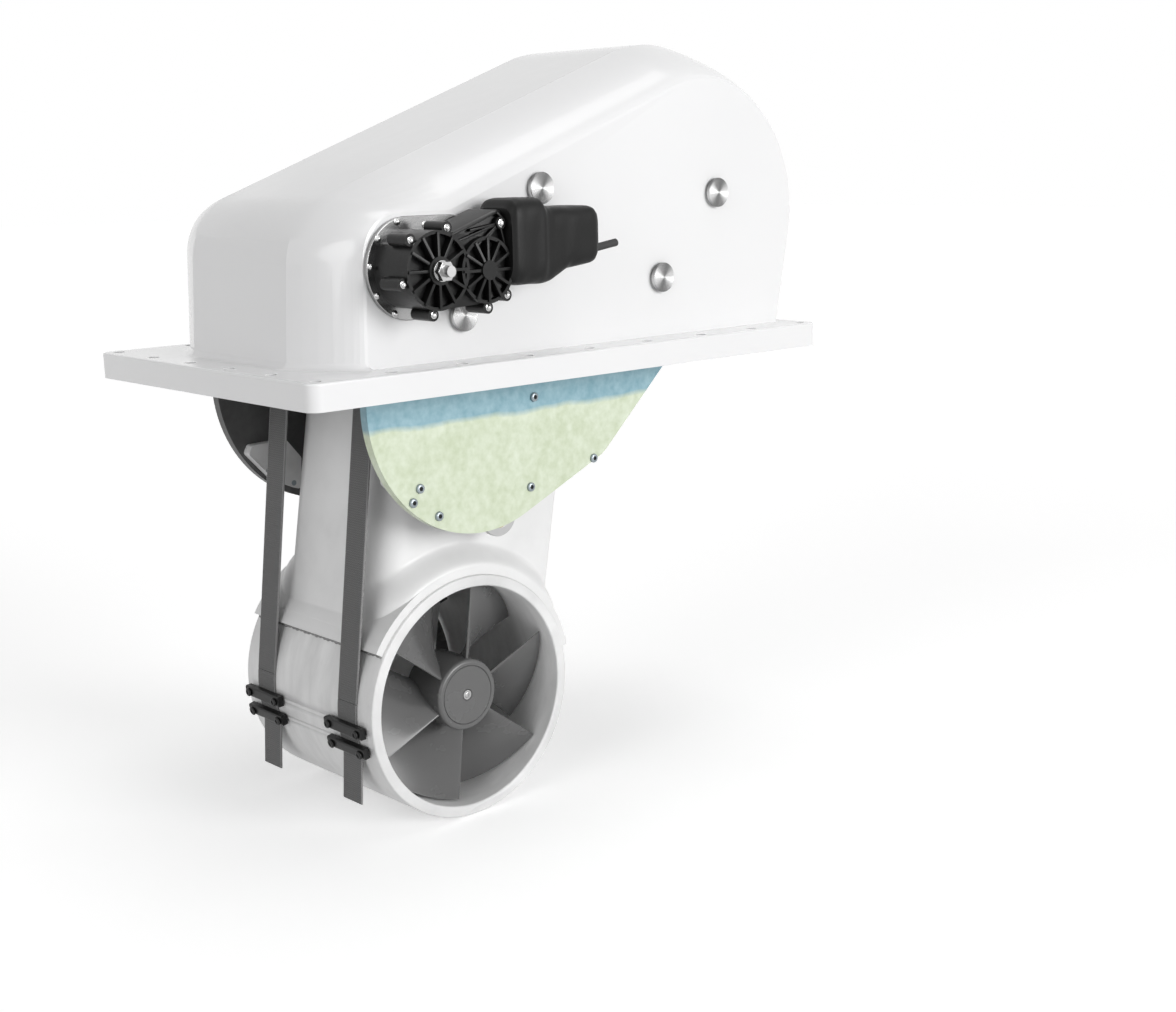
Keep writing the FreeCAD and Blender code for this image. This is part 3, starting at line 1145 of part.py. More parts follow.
def make_straps():
    start, end, run, side = strap_line()
    length = (end - start).Length - 0.3
    lean = math.degrees(math.atan2(run.x, -run.z))
    half = d.strap_thick / 2
    low_round = d.bore / 2 + d.tunnel_wall
    for name, face in SIDES:
        y0 = face * d.strap_y - d.strap_width / 2
        span = Part.makeBox(d.strap_thick, d.strap_width, length, Vector(-half, y0, -length))
        node(solid(f"strap_span_{name}", span), f"strap_{name}",
             Placement(start, Rotation(Vector(0, 1, 0), -lean)))
        touch = (end - TUNNEL_DOWN)
        touch_angle = math.degrees(math.atan2(-touch.x, touch.z)) + d.leg_lean
        last = d.clamp_first + d.clamp_step + math.degrees(d.clamp_width / 2 / low_round)
        wrap = Part.makeCylinder(low_round + d.strap_thick, d.strap_width, Vector(0, y0, 0), Vector(0, 1, 0))
        wrap = wrap.cut(Part.makeCylinder(low_round, d.strap_width, Vector(0, y0, 0), Vector(0, 1, 0)))
        reach = 2 * low_round
        first_side = Rotation(Vector(0, 1, 0), -touch_angle).multVec(Vector(0, 0, reach))
        last_side = Rotation(Vector(0, 1, 0), -last).multVec(Vector(0, 0, reach))
        wedge = prism(outline([(0, 0), (first_side.x, first_side.z), (last_side.x, last_side.z)]),
                      y0, y0 + d.strap_width)
        wrap = wrap.common(wedge)
        tail = Part.makeBox(d.tail_length, d.strap_width, d.strap_thick,
                            Vector(-d.tail_length, y0, low_round))
        tail.rotate(Vector(), Vector(0, 1, 0), -last)
        node(solid(f"strap_wrap_{name}", wrap.fuse(tail).removeSplitter()), f"strap_end_{name}", LEG)


make_winch()
make_straps()


# Gearmotor of the winch on the near wall.
def lug_place(x, z, radius, angle):
    reach = radius + d.lug_dia / 3
    return x + reach * math.cos(math.radians(angle)), z + reach * math.sin(math.radians(angle))


LUGS = [lug_place(d.winch_x, d.winch_z, d.out_disc, angle) for angle in (70, 135, 195, 262)]
LUGS += [lug_place(d.idle_x, d.idle_z, d.idle_disc, angle) for angle in (-88, -45)]


SEAT_LOBE = (d.winch_x + 42, d.winch_z + 14, 23)
SEAT_SCREW_ANGLES = (62, 105, 140, 175, 210, 245, 285)


def cover_shape(belt, face):
    """The gear cover: a plate over the belt outline, with lugs and two ribbed discs."""
    plate = Part.Face(wire_at_y(belt, face)).extrude(Vector(0, -d.cover_plate, 0))
    down = Vector(0, -1, 0)
    parts = [Part.makeCylinder(d.lug_dia / 2, d.lug_height, Vector(x, face, z), down) for x, z in LUGS]
    discs = ((d.winch_x, d.winch_z, d.out_disc, d.out_hub_dia / 2),
             (d.idle_x, d.idle_z, d.idle_disc, d.idle_hub_dia / 2))
    foot, sink = d.cover_plate - 0.5, 2
    for x, z, radius, hub in discs:
        centre = Vector(x, face - foot, z)
        rim = Part.makeCylinder(radius, d.gear_cover_depth - 2 * foot, centre, down)
        parts.append(rim.cut(Part.makeCylinder(radius - d.case_wall, d.gear_cover_depth, centre, down)))
        parts.append(Part.makeCylinder(hub, d.gear_cover_depth - foot, centre, down))
        reach, deep = radius - d.case_wall / 2 - hub + sink, d.gear_cover_depth - d.hub_step / 2
        for index in range(int(d.rib_count)):
            corner = Vector(x + hub - sink, face - deep, z - d.rib_thick / 2)
            spoke = Part.makeBox(reach, deep - foot, d.rib_thick, corner)
            spoke.rotate(Vector(x, 0, z), Vector(0, 1, 0), index * 360 / d.rib_count)
            parts.append(spoke)
    eye = Part.makeCylinder(d.winch_dia / 2 + d.mesh_gap, 2 * d.gear_cover_depth,
                            Vector(d.winch_x, face, d.winch_z), down)
    return plate.fuse(parts).cut(eye).removeSplitter()


def bell_shape(seat_out, face):
    """The motor's front bell: a tall rounded block, scooped out round the gear case."""
    half = -d.lift_motor_y - seat_out - d.bell_seat_gap
    foot = d.lift_motor_z + d.bell_rise - d.bell_half
    bell = Part.makeBox(d.lift_motor_start - d.bell_start, 2 * half, 2 * d.bell_half,
                        Vector(d.bell_start, d.lift_motor_y - half, foot))
    bell = bell.makeFillet(d.bell_corner, [edge for edge in bell.Edges if edge.BoundBox.XLength > 1])
    spared = Part.makeCylinder(d.idle_disc + d.bell_gap, 2 * d.lift_motor_dia,
                               Vector(d.idle_x, face - d.lift_motor_dia, d.idle_z), Vector(0, 1, 0))
    way = Part.makeCylinder(d.bell_way / 2, d.lift_motor_start - d.bell_start,
                            Vector(d.bell_start, d.lift_motor_y, d.lift_motor_z), Vector(1, 0, 0))
    return bell.cut(spared).cut(way)


def make_gearmotor():
    seat_out = d.shell_half + d.seat_thick
    seat_centre = (d.winch_x + d.seat_shift, d.winch_z)
    seat_belt = hull_of_circles(*seat_centre, d.seat_round, *SEAT_LOBE)
    form = padded("seat_form", "XZ_Plane", seat_belt, "seat_thick")
    bind(form, Placement__Base__y="-shell_half")
    eye = rod("seat_eye", "winch_dia / 2 + bush_wall", "seat_thick",
              ("winch_x", "-(shell_half + seat_thick)", "winch_z"))
    node(cut("seat_bored", form, eye), "gearmotor_seat")
    heads = []
    for angle in SEAT_SCREW_ANGLES:
        x = seat_centre[0] + (d.seat_round - d.case_screw_dia / 2) * math.cos(math.radians(angle))
        z = seat_centre[1] + (d.seat_round - d.case_screw_dia / 2) * math.sin(math.radians(angle))
        heads.append(rod("seat_screw", "case_screw_dia / 2", "case_screw",
                         (str(x), "-(shell_half + seat_thick + case_screw)", str(z))))

    belt = hull_of_circles(d.winch_x, d.winch_z, d.out_disc, d.idle_x, d.idle_z, d.idle_disc)
    inner_belt = hull_of_circles(d.winch_x, d.winch_z, d.out_disc - d.case_wall,
                                 d.idle_x, d.idle_z, d.idle_disc - d.case_wall)
    body = padded("case_form", "XZ_Plane", belt, "gear_case")
    bind(body, Placement__Base__y="-(shell_half + seat_thick)")
    low_y = -(seat_out + d.gear_case)
    front = "-(shell_half + seat_thick + gear_case)"
    cover_x = "idle_x - idle_disc"
    tunnel = block("worm_block", (f"bell_start - ({cover_x})", "worm_cover", "worm_cover_high"),
                   (cover_x, front, "lift_motor_z - worm_cover_high / 2"))
    hollow = solid("case_hollow", prism(inner_belt, -(seat_out + d.case_wall), low_y))
    worm_room = rod("worm_room", "worm_dia / 2 + worm_gap", "2 * idle_disc - case_wall",
                    (f"{cover_x} + case_wall", "lift_motor_y", "lift_motor_z"), ALONG_X)
    eye = rod("case_eye", "winch_dia / 2 + 1", "gear_case", ("winch_x", front, "winch_z"))
    lugs = [rod("case_lug", "lug_dia / 2", "gear_case / 2", (str(x), front, str(z))) for x, z in LUGS]
    node(cut("case_bored", fuse("case_whole", body, tunnel, *lugs), hollow, worm_room, eye), "gear_case")
    node(solid("cover_form", cover_shape(belt, low_y)), "gear_cover")

    idle = fuse("idle_form",
                rod("idle_wheel", "lift_motor_z - idle_z - worm_dia / 2 - mesh_gap", "worm_wheel_thick",
                    ("idle_x", "lift_motor_y - worm_wheel_thick / 2", "idle_z")),
                rod("idle_pinion", "idle_x - winch_x - out_disc + case_wall + wheel_gap - mesh_gap",
                    "wheel_thick", ("idle_x", WHEEL_Y, "idle_z")),
                rod("idle_axle", "worm_shaft_dia / 2", "gear_case - case_wall", ("idle_x", front, "idle_z")))
    node(idle, "intermediate_gear")
    worm_start = "(idle_x - worm_length / 2)"
    worm = fuse("worm_form",
                rod("worm_thread", "worm_dia / 2", "worm_length",
                    (worm_start, "lift_motor_y", "lift_motor_z"), ALONG_X),
                rod("worm_shaft_rod", "worm_shaft_dia / 2",
                    f"lift_motor_start + rotor_in + rotor_length + worm_past - ({worm_start} - worm_past)",
                    (f"{worm_start} - worm_past", "lift_motor_y", "lift_motor_z"), ALONG_X))
    node(worm, "worm_shaft")
    rotor = ring("winch_armature_form", "rotor_dia / 2", "worm_shaft_dia / 2", "rotor_length",
                 ("lift_motor_start + rotor_in", "lift_motor_y", "lift_motor_z"), ALONG_X)
    node(rotor, "winch_armature")
    node(solid("bell_form", bell_shape(seat_out, low_y)), "motor_bell")

    length, radius = d.lift_motor_end - d.lift_motor_start, d.lift_motor_dia / 2
    neck, slope = radius - d.boot_taper / 2, length - d.boot_taper
    can = turned("can_form", [(0, length), (neck, length), (radius, slope), (radius, 0),
                              (radius - d.boot_wall, 0), (radius - d.boot_wall, slope - d.boot_wall),
                              (neck - d.boot_wall, length - 2 * d.boot_wall), (0, length - 2 * d.boot_wall)])
    node(can, "winch_motor_case",
         Placement(Vector(d.lift_motor_start, d.lift_motor_y, d.lift_motor_z), ALONG_X))
    sleeve = rod("lead_form", "lead_dia / 2", "lead_end - lift_motor_end",
                 ("lift_motor_end", "lift_motor_y", "lift_motor_z - lead_drop"), ALONG_X)
    node(sleeve, "lead_sleeve")
    heads += [rod("cover_screw", "case_screw_dia / 2", "case_screw",
                  (str(x), f"{front} - case_screw - lug_height", str(z))) for x, z in LUGS]
    node(group("screw_set", *heads), "gearmotor_screws")


make_gearmotor()


def export_nodes():
    """Recomputes the document, checks every piece and writes its solid."""
    doc.recompute()
    faults = []
    for item in doc.Objects:
        if "Invalid" in item.State or "Error" in item.State:
            faults.append(item.Name + " is " + ", ".join(item.State))
    for label, item in NODES.items():
        if item.Shape.isNull() or not item.Shape.isValid() or item.Shape.Volume <= 0:
            faults.append(label + " has no valid shape")
    if faults:
        raise SystemExit("part.py stopped: " + "; ".join(faults))
    for label, item in NODES.items():
        item.Shape.exportStep(os.path.join(NODE_FOLDER, label + ".step"))
        print(label, len(item.Shape.Solids), "solids", round(item.Shape.Volume / 1000, 1), "cm3")
    print(len(NODES), "nodes")


export_nodes()
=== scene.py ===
"""Dresses the retracting bow thruster: smooth mouldings, finishes, camera and light.

Everything is in metres in the row frame: the origin is the centre of the hull flange on its
underside, +X points to the high end of the housing, -Y to the gearmotor's side, and +Z up.
"""
import json
import math
import bmesh
import bpy
import numpy as np
from mathutils import Matrix, Vector


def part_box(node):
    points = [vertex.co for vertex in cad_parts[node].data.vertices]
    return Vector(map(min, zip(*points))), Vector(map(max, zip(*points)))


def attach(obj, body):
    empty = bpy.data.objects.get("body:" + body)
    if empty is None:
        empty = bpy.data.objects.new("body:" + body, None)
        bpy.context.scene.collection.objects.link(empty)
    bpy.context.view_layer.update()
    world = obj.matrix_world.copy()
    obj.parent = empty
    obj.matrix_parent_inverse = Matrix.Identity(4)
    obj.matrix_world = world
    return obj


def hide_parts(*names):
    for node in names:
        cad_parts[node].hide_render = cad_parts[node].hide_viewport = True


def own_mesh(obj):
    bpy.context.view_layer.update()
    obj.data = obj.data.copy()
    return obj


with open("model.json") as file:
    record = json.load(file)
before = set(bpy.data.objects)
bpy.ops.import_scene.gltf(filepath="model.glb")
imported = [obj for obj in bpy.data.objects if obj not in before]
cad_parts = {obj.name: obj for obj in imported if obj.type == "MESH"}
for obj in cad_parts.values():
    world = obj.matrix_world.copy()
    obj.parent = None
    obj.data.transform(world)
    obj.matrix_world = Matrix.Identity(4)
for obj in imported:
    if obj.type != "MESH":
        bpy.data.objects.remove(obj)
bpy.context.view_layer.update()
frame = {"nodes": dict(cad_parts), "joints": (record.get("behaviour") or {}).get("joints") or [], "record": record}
NODES = frame["nodes"]
RECORD = frame["record"]
BODY_OF = {node: body for body, members in RECORD["behaviour"]["bodies"].items() for node in members}
SLOT_OF = {entry["node"]: entry["material_slot"] for entry in RECORD["subparts"]}
JOINTS = {joint["name"]: joint for joint in frame["joints"]}
TUNNEL_AXIS = np.array(JOINTS["prop_near_spin"]["pos_m"])
LEG_UP = np.array(JOINTS["drive_spin"]["axis"])
LEG_ACROSS = np.array([LEG_UP[2], 0.0, -LEG_UP[0]])
ACROSS = np.array([0.0, 1.0, 0.0])

# Housing: the flange's upper face, half the width and the reach of the outline on it.
FLANGE_TOP = 0.020
SHELL_HALF = 0.118
SHELL_REACH = 0.245

# Leg: outside sizes, how far its middle lies from the tunnel's axis, its top above that axis, and
# the angle from upright at which the collar over the tunnel ends.
LEG_DEPTH, LEG_WIDTH, LEG_CORNER, LEG_WALL = 0.192, 0.138, 0.028, 0.0045
LEG_ASIDE, LEG_TOP = 0.005, 0.285
COLLAR_ANGLE = 68.5
COLLAR_THICK, COLLAR_STEP = 0.0068, 0.0032

# Propeller: six blades, the first one's outer edge in degrees from +X towards +Z.
BLADES = 6
BLADE_PHASE = 83.5
BLADE_RADIUS = 0.0905
HUB_RADIUS = 0.030

# Light: the world's strength for light that falls on things, what the eye sees added to the floor,
# and the lamps as name, way to the lamp, angle across it and strength.
WORLD_LIGHT = 0.3
FLOOR_LIFT = 0.41
LAMPS = (("side", (0.7, -2.6, 0.5), 0.6, 2.3), ("front", (-2.6, -0.5, 0.9), 0.6, 0.72),
         ("top", (0.3, -0.1, 2.0), 0.6, 0.5))


def span(node):
    """A CAD node's lowest and highest corner as arrays."""
    return tuple(np.array(corner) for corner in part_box(node))


STRAP_MIDDLE = float(sum(span("strap_far"))[1]) / 2
TUNNEL_RADIUS = float(np.subtract(*span("tunnel_tube")[::-1])[2]) / 2
TUNNEL_HALF = float(np.subtract(*span("tunnel_tube")[::-1])[1]) / 2


# Shader maths
class Wire:
    """A shader socket that takes part in plain arithmetic; each operation adds a Math node."""

    def __init__(self, finish, socket):
        self.finish = finish
        self.socket = socket

    def maths(self, operation, *values):
        return self.finish.add("ShaderNodeMath", {"operation": operation}, dict(enumerate(values)))

    def __add__(self, other):
        return self.maths("ADD", self, other)

    def __mul__(self, other):
        return self.maths("MULTIPLY", self, other)

    def __sub__(self, other):
        return self.maths("SUBTRACT", self, other)

    def __rsub__(self, other):
        return self.maths("SUBTRACT", other, self)

    def __truediv__(self, other):
        return self.maths("DIVIDE", self, other)

    def __pow__(self, other):
        return self.maths("POWER", self, other)

    __radd__ = __add__
    __rmul__ = __mul__

    def sine(self):
        return self.maths("SINE", self)

    def size(self):
        return self.maths("ABSOLUTE", self)

    def clamp(self):
        return self.maths("MINIMUM", self.maths("MAXIMUM", self, 0.0), 1.0)


class Finish:
    """One material. add() makes any node; the other methods are short ways to common ones."""

    def __init__(self, name, color, roughness, **constants):
        self.material = bpy.data.materials.new(name)
        self.material.use_nodes = True
        self.tree = self.material.node_tree
        self.shader = self.tree.nodes["Principled BSDF"]
        self.set("Base Color", (*color, 1.0))
        self.set("Roughness", roughness)
        for socket, value in constants.items():
            self.set(socket.replace("_", " "), value)

    def add(self, kind, settings, inputs, output=0):
        node = self.tree.nodes.new(kind)
        for key, value in settings.items():
            setattr(node, key, value)
        for key, value in inputs.items():
            self.plug(node.inputs[key], value)
        return Wire(self, node.outputs[output])

    def plug(self, socket, value):
        if isinstance(value, Wire):
            self.tree.links.new(value.socket, socket)
        else:
            socket.default_value = value

    def set(self, socket, value):
        self.plug(self.shader.inputs[socket], value)

    def place(self, stretch=(1.0, 1.0, 1.0)):
        """Object coordinates, stretched."""
        spot = self.add("ShaderNodeTexCoord", {}, {}, "Object")
        return self.add("ShaderNodeMapping", {}, {"Vector": spot, "Scale": stretch})

    def part(self, vector, axis):
        return self.add("ShaderNodeSeparateXYZ", {}, {"Vector": vector}, axis)

    def flat(self, axis):
        """One coordinate of the piece's own UV map."""
        return self.part(self.add("ShaderNodeUVMap", {}, {}, "UV"), axis)

    def noise(self, scale, detail=3.0, stretch=(1.0, 1.0, 1.0)):
        inputs = {"Vector": self.place(stretch), "Scale": scale, "Detail": detail}
        return self.add("ShaderNodeTexNoise", {}, inputs, "Fac")

    def mix(self, share, first, second):
        """A colour between two colours; 0, 6 and 7 are the colour sockets of a Mix node."""
        return self.add("ShaderNodeMix", {"data_type": "RGBA"}, {0: share, 6: first, 7: second}, 2)

    def bump(self, height, distance, strength=1.0):
        inputs = {"Height": height, "Distance": distance, "Strength": strength}
        self.set("Normal", self.add("ShaderNodeBump", {}, inputs))


def rgb(level, tint=(1.0, 1.0, 1.0)):
    return tuple(level * part for part in tint)


def tone(level, tint=(1.0, 1.0, 1.0)):
    return (*rgb(level, tint), 1.0)


def gelcoat():
    """Glossy moulded surface, very slightly uneven."""
    finish = Finish("gelcoat", rgb(0.82), 0.2, Coat_Weight=0.35, Coat_Roughness=0.06)
    finish.set("Base Color", finish.mix(finish.noise(6.0), tone(0.79, (1.0, 1.0, 1.01)), tone(0.83)))
    finish.set("Roughness", finish.noise(40.0) * 0.1 + 0.16)
    finish.bump(finish.noise(30.0, 2.0), 0.0004, 0.2)
    return finish.material


def leg_paint():
    """Sprayed moulding: faint streaks down the leg and small stains."""
    finish = Finish("leg_paint", rgb(0.8), 0.42)
    streaks = finish.noise(8.0, 5.0, (2.5, 2.5, 0.5))
    stains = (finish.noise(22.0, 6.0) ** 4.0 * 2.0).clamp()
    body = finish.mix(streaks, tone(0.76), tone(0.85))
    finish.set("Base Color", finish.mix(stains, body, tone(0.64)))
    finish.set("Roughness", streaks * 0.2 + 0.3)
    finish.bump(finish.noise(120.0) + streaks * 2.0, 0.0003, 0.35)
    return finish.material


def tube_paint():
    """Brushed tube: cloudy streaks that run round it, and small stains."""
    finish = Finish("tube_paint", rgb(0.78), 0.4)
    streaks = finish.noise(16.0, 6.0, (1.0, 3.2, 1.0)) * 0.7 + finish.noise(70.0, 4.0, (0.5, 2.0, 0.5)) * 0.4
    stains = (finish.noise(26.0, 6.0) ** 4.0 * 2.2).clamp()
    body = finish.mix((streaks * 2.4 - 0.8).clamp(), tone(0.66), tone(0.85))
    finish.set("Base Color", finish.mix(stains, body, tone(0.58)))
    finish.set("Roughness", streaks * 0.2 + 0.28)
    finish.bump(streaks, 0.0004, 0.35)
    return finish.material


def laminate():
    """Glass laminate: pale strands in green resin, a painted blue shadow of the flange along the top, and painted
    shade on the inner faces.
    """
    finish = Finish("laminate", (0.62, 0.69, 0.50), 0.42)
    strands = finish.noise(170.0, 6.0) * 0.8 + finish.noise(60.0, 4.0) * 0.5
    grain = (strands * 2.0 - 0.8).clamp()
    body = finish.mix(grain, (0.53, 0.60, 0.42, 1.0), (0.70, 0.76, 0.62, 1.0))
    # Painted shadow: the flange's shadow on the plate's top is painted into the colour as a blue band with a soft,
    # uneven lower edge.
    flange_shadow_blue = finish.mix(grain, (0.17, 0.33, 0.40, 1.0), (0.31, 0.48, 0.54, 1.0))
    height = finish.part(finish.place(), "Z")
    drift = finish.noise(30.0, 4.0) * 0.008
    depth, blur = 0.026, 0.005
    share = ((height + depth + drift) / blur).clamp()
    outside = finish.mix(share, body, flange_shadow_blue)
    # Painted shade: faces that turn towards the middle between the plates are painted near black.
    facing = finish.part(finish.add("ShaderNodeNewGeometry", {}, {}, "Normal"), "Y")
    inner_shade_mask = (finish.part(finish.place(), "Y") * (0.5 - facing) * 200.0).clamp()
    dark = finish.mix(strands.clamp(), tone(0.04), tone(0.10))
    finish.set("Base Color", finish.mix(inner_shade_mask, outside, dark))
    finish.bump(strands, 0.0003, 0.5)
    return finish.material


def metal(name, level, roughness, grain=0.0, tint=(1.0, 1.0, 1.0)):
    """Bare metal: duller where it is worn, with a fine grain."""
    finish = Finish(name, rgb(level, tint), roughness, Metallic=1.0)
    wear = finish.noise(60.0)
    finish.set("Base Color", finish.mix(wear, tone(level * 0.82, tint), tone(level, tint)))
    finish.set("Roughness", wear * 0.15 + (roughness - 0.07))
    finish.bump(finish.noise(700.0, 2.0), 0.0001, grain)
    return finish.material


def turned_steel():
    """Faced on a lathe: UV X is the distance from the middle in metres, for fine rings, and UV Y
    is the share of a painted highlight, the light that such rings throw towards one side and its opposite."""
    finish = Finish("turned_steel", rgb(0.5), 0.25, Metallic=1.0)
    rings = (finish.flat("X") * (2 * math.pi / 0.0006)).sine()
    # Painted highlight: two bright wedges on opposite sides of each cap, painted into the colour.
    painted_ring_glint = (finish.flat("Y") ** 3.0) + finish.noise(260.0) * 0.12
    finish.set("Base Color", finish.mix(painted_ring_glint.clamp(), tone(0.14), tone(0.58)))
    finish.set("Roughness", rings * 0.04 + 0.26)
    finish.bump(rings, 0.0001, 0.5)
    return finish.material


def plastic(name, level, roughness, grain=260.0, cloudy=0.27, shine=0.5):
    """Moulded plastic or rubber: tone and roughness vary together by the cloudy share."""
    finish = Finish(name, rgb(level), roughness, Specular_IOR_Level=shine)
    cloud = finish.noise(45.0)
    finish.set("Base Color", finish.mix(cloud, tone(level * (1 - cloudy)), tone(level * (1 + cloudy))))
    finish.set("Roughness", cloud * (cloudy * 0.6) + (roughness - cloudy * 0.3))
    finish.bump(finish.noise(grain, 2.0), 0.0002, 0.35)
    return finish.material


def webbing():
    """Woven strap: ribs across it, picks along it, and a painted highlight as a thin pale line at both edges."""
    finish = Finish("webbing", rgb(0.08), 0.7, Sheen_Weight=0.25)
    pick, plain_half = 0.0012, 0.0115
    spot = finish.place()
    across, along = finish.part(spot, "Y"), finish.part(spot, "Z")
    ribs = (across * (2 * math.pi / (2 * pick))).sine()
    slant = ((along + ribs * 0.0003) * (2 * math.pi / (1.5 * pick))).sine()
    weave = ribs * slant * 0.5 + 0.5
    aside = (across.size() - STRAP_MIDDLE).size()
    # Painted highlight: a thin pale line along both edges of the strap.
    edge = ((aside - plain_half) / 0.0004).clamp()
    body = finish.mix(weave, tone(0.055), tone(0.12))
    finish.set("Base Color", finish.mix(edge, body, tone(0.22)))
    finish.bump(weave, 0.0003, 0.7)
    return finish.material


FINISHES = {
    "gelcoat": gelcoat(),
    "leg_paint": leg_paint(),
    "tube_paint": tube_paint(),
    "laminate": laminate(),
    "stainless": metal("stainless", 0.50, 0.3, 0.2),
    "turned": turned_steel(),
    "zinc": metal("bright_zinc", 0.62, 0.16, 0.1),
    "seat": metal("dull_zinc", 0.36, 0.24, 0.15),
    "dark_screw": metal("dark_screw", 0.04, 0.4, 0.2),
    # Painted shade: the plate screws are tinted blue, the blue of the flange's shadow they sit in.
    "blued_screw": metal("blued_screw", 0.42, 0.32, 0.2, (0.82, 0.93, 1.0)),
    "rubber": plastic("rubber", 0.02, 0.6),
    "glue": plastic("glue", 0.22, 0.6, 300.0),
    "nylon": plastic("nylon", 0.62, 0.5, 180.0),
    "black_plastic": plastic("black_plastic", 0.006, 0.34, shine=0.28),
    "boot": plastic("boot_rubber", 0.007, 0.44, 420.0, shine=0.2),
    "bronze": metal("bronze", 0.55, 0.35, 0.2, (1.0, 0.75, 0.42)),
    "steel": metal("ground_steel", 0.42, 0.35, 0.3),
    "motor_paint": plastic("motor_paint", 0.035, 0.35),
    "propeller": plastic("propeller_grey", 0.115, 0.27, 90.0, cloudy=0.06),
    "drum_plastic": plastic("drum_plastic", 0.04, 0.5),
    "webbing": webbing(),
}


# Meshes
def put(name, mesh, body, finish, replaces=()):
    """Files a mesh as a piece that rides a body."""
    mesh.materials.clear()
    mesh.materials.append(finish)
    piece = bpy.data.objects.new(name, mesh)
    bpy.context.scene.collection.objects.link(piece)
    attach(piece, body)
    if replaces:
        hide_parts(*replaces)
    return piece


def mesh_piece(name, points, faces, body, finish, replaces=(), uv=None):
    """A piece from vertices and faces; uv holds one pair for each vertex."""
    mesh = bpy.data.meshes.new(name)
    mesh.from_pydata(points.tolist(), [], [tuple(face) for face in faces])
    if uv is not None:
        layer = mesh.uv_layers.new(name="flat")
        index = np.empty(len(mesh.loops), np.int32)
        mesh.loops.foreach_get("vertex_index", index)
        layer.data.foreach_set("uv", np.asarray(uv, np.float32)[index].ravel())
    piece = put(name, mesh, body, finish, replaces)
    mark_sharp(piece)
    return piece


def grid_faces(rows, columns, close_rows=False, close_columns=False):
    """Quads over a grid of rows by columns, counted row by row."""
    i = np.arange(rows if close_rows else rows - 1)
    j = np.arange(columns if close_columns else columns - 1)
    i, j = np.meshgrid(i, j, indexing="ij")
    below, beside = (i + 1) % rows, (j + 1) % columns
    corners = [i * columns + j, i * columns + beside, below * columns + beside, below * columns + j]
    return np.stack(corners, -1).reshape(-1, 4)


def mark_sharp(piece, degrees=32.0):
    """Smooth shading, with a crease where two faces meet at more than the angle."""
    piece.data.shade_smooth()
    piece.data.set_sharp_from_angle(angle=math.radians(degrees))


def joined(parts):
    """Several (points, faces) lists as one, with the faces counted on."""
    offsets = np.cumsum([0] + [len(points) for points, _ in parts])
    faces = [tuple(int(i) + int(offset) for i in face)
             for (_, part_faces), offset in zip(parts, offsets) for face in part_faces]
    return np.concatenate([points for points, _ in parts]), faces


def stand(points, centre, axis):
    """Turns points from +Z to an axis and moves them to a centre."""
    turn = np.array(Vector(axis).to_track_quat("Z", "Y").to_matrix())
    return points @ turn.T + np.asarray(centre)


def turned(profile, columns=48):
    """A closed round solid about +Z from a profile of (radius, height, hexagon share), from its
    lower pole to its upper pole. At a hexagon share of 1 a ring follows a hexagon with that radius
    across its corners, radius times cos 30 over cos of the angle to the nearest flat's middle."""
    profile = np.array(profile, float)
    rings = profile[1:-1]
    angles = np.arange(columns) * 2 * math.pi / columns
    sixth = math.pi / 3
    flat = math.cos(sixth / 2) / np.cos(angles % sixth - sixth / 2)
    radius = rings[:, 0:1] * (1 - rings[:, 2:3] + rings[:, 2:3] * flat[None])
    ring_points = np.stack([radius * np.cos(angles), radius * np.sin(angles),
                            np.repeat(rings[:, 1:2], columns, 1)], -1).reshape(-1, 3)
    poles = np.array([[0, 0, profile[0, 1]], [0, 0, profile[-1, 1]]])
    return np.concatenate([ring_points, poles]), capped_faces(len(rings), columns)


def outward(piece):
    """Turns a closed mesh's faces outwards."""
    work = bmesh.new()
    work.from_mesh(piece.data)
    bmesh.ops.recalc_face_normals(work, faces=work.faces)
    work.to_mesh(piece.data)
    work.free()


def belt_prism(circles, back, front, edge=0.0006, columns=96):
    """A closed prism along Y whose outline is a tight belt round circles (x, z, radius). In each
    direction the outline's point belongs to the circle that reaches furthest that way."""
    circles = np.array(circles, float)
    angles = np.arange(columns) * 2 * math.pi / columns
    ways = np.stack([np.cos(angles), np.sin(angles)], -1)
    furthest = np.argmax(ways @ circles[:, :2].T + circles[:, 2], 1)
    middle, radius = circles[furthest, :2], circles[furthest, 2]
    sign = math.copysign(1.0, front - back)
    rows = [(edge, back), (0.0, back + sign * edge), (0.0, front - sign * edge),
            (0.3 * edge, front - 0.3 * sign * edge), (edge, front)]
    rings = [np.insert(middle + ways * (radius - inset)[:, None], 1, level, axis=1) for inset, level in rows]
    centre = middle.mean(0)
    poles = np.array([[centre[0], back, centre[1]], [centre[0], front, centre[1]]])
    faces = capped_faces(len(rows), columns)
    if sign > 0:
        faces = [face[::-1] for face in faces]
    return np.concatenate(rings + [poles]), faces


def capped_faces(rows, columns):
    """Faces of a tube of rings whose two ends are fans to the last two points."""
    j = np.arange(columns)
    step, count, top = (j + 1) % columns, rows * columns, (rows - 1) * columns
    lower = np.stack([np.full(columns, count), step, j], -1)
    upper = np.stack([np.full(columns, count + 1), top + j, top + step], -1)
    return list(lower) + list(grid_faces(rows, columns, False, True)) + list(upper)


def read_points(mesh):
    """A mesh's points as an array of one row each."""
    points = np.empty(len(mesh.vertices) * 3)
    mesh.vertices.foreach_get("co", points)
    return points.reshape(-1, 3)


def merged_copy(node):
    """A copy of a CAD node's mesh with its loose points and its level faces joined."""
    mesh = NODES[node].data.copy()
    work = bmesh.new()
    work.from_mesh(mesh)
    bmesh.ops.remove_doubles(work, verts=work.verts, dist=1e-6)
    bmesh.ops.dissolve_limit(work, angle_limit=math.radians(0.3), verts=work.verts, edges=work.edges)
    work.to_mesh(mesh)
    work.free()
    return mesh


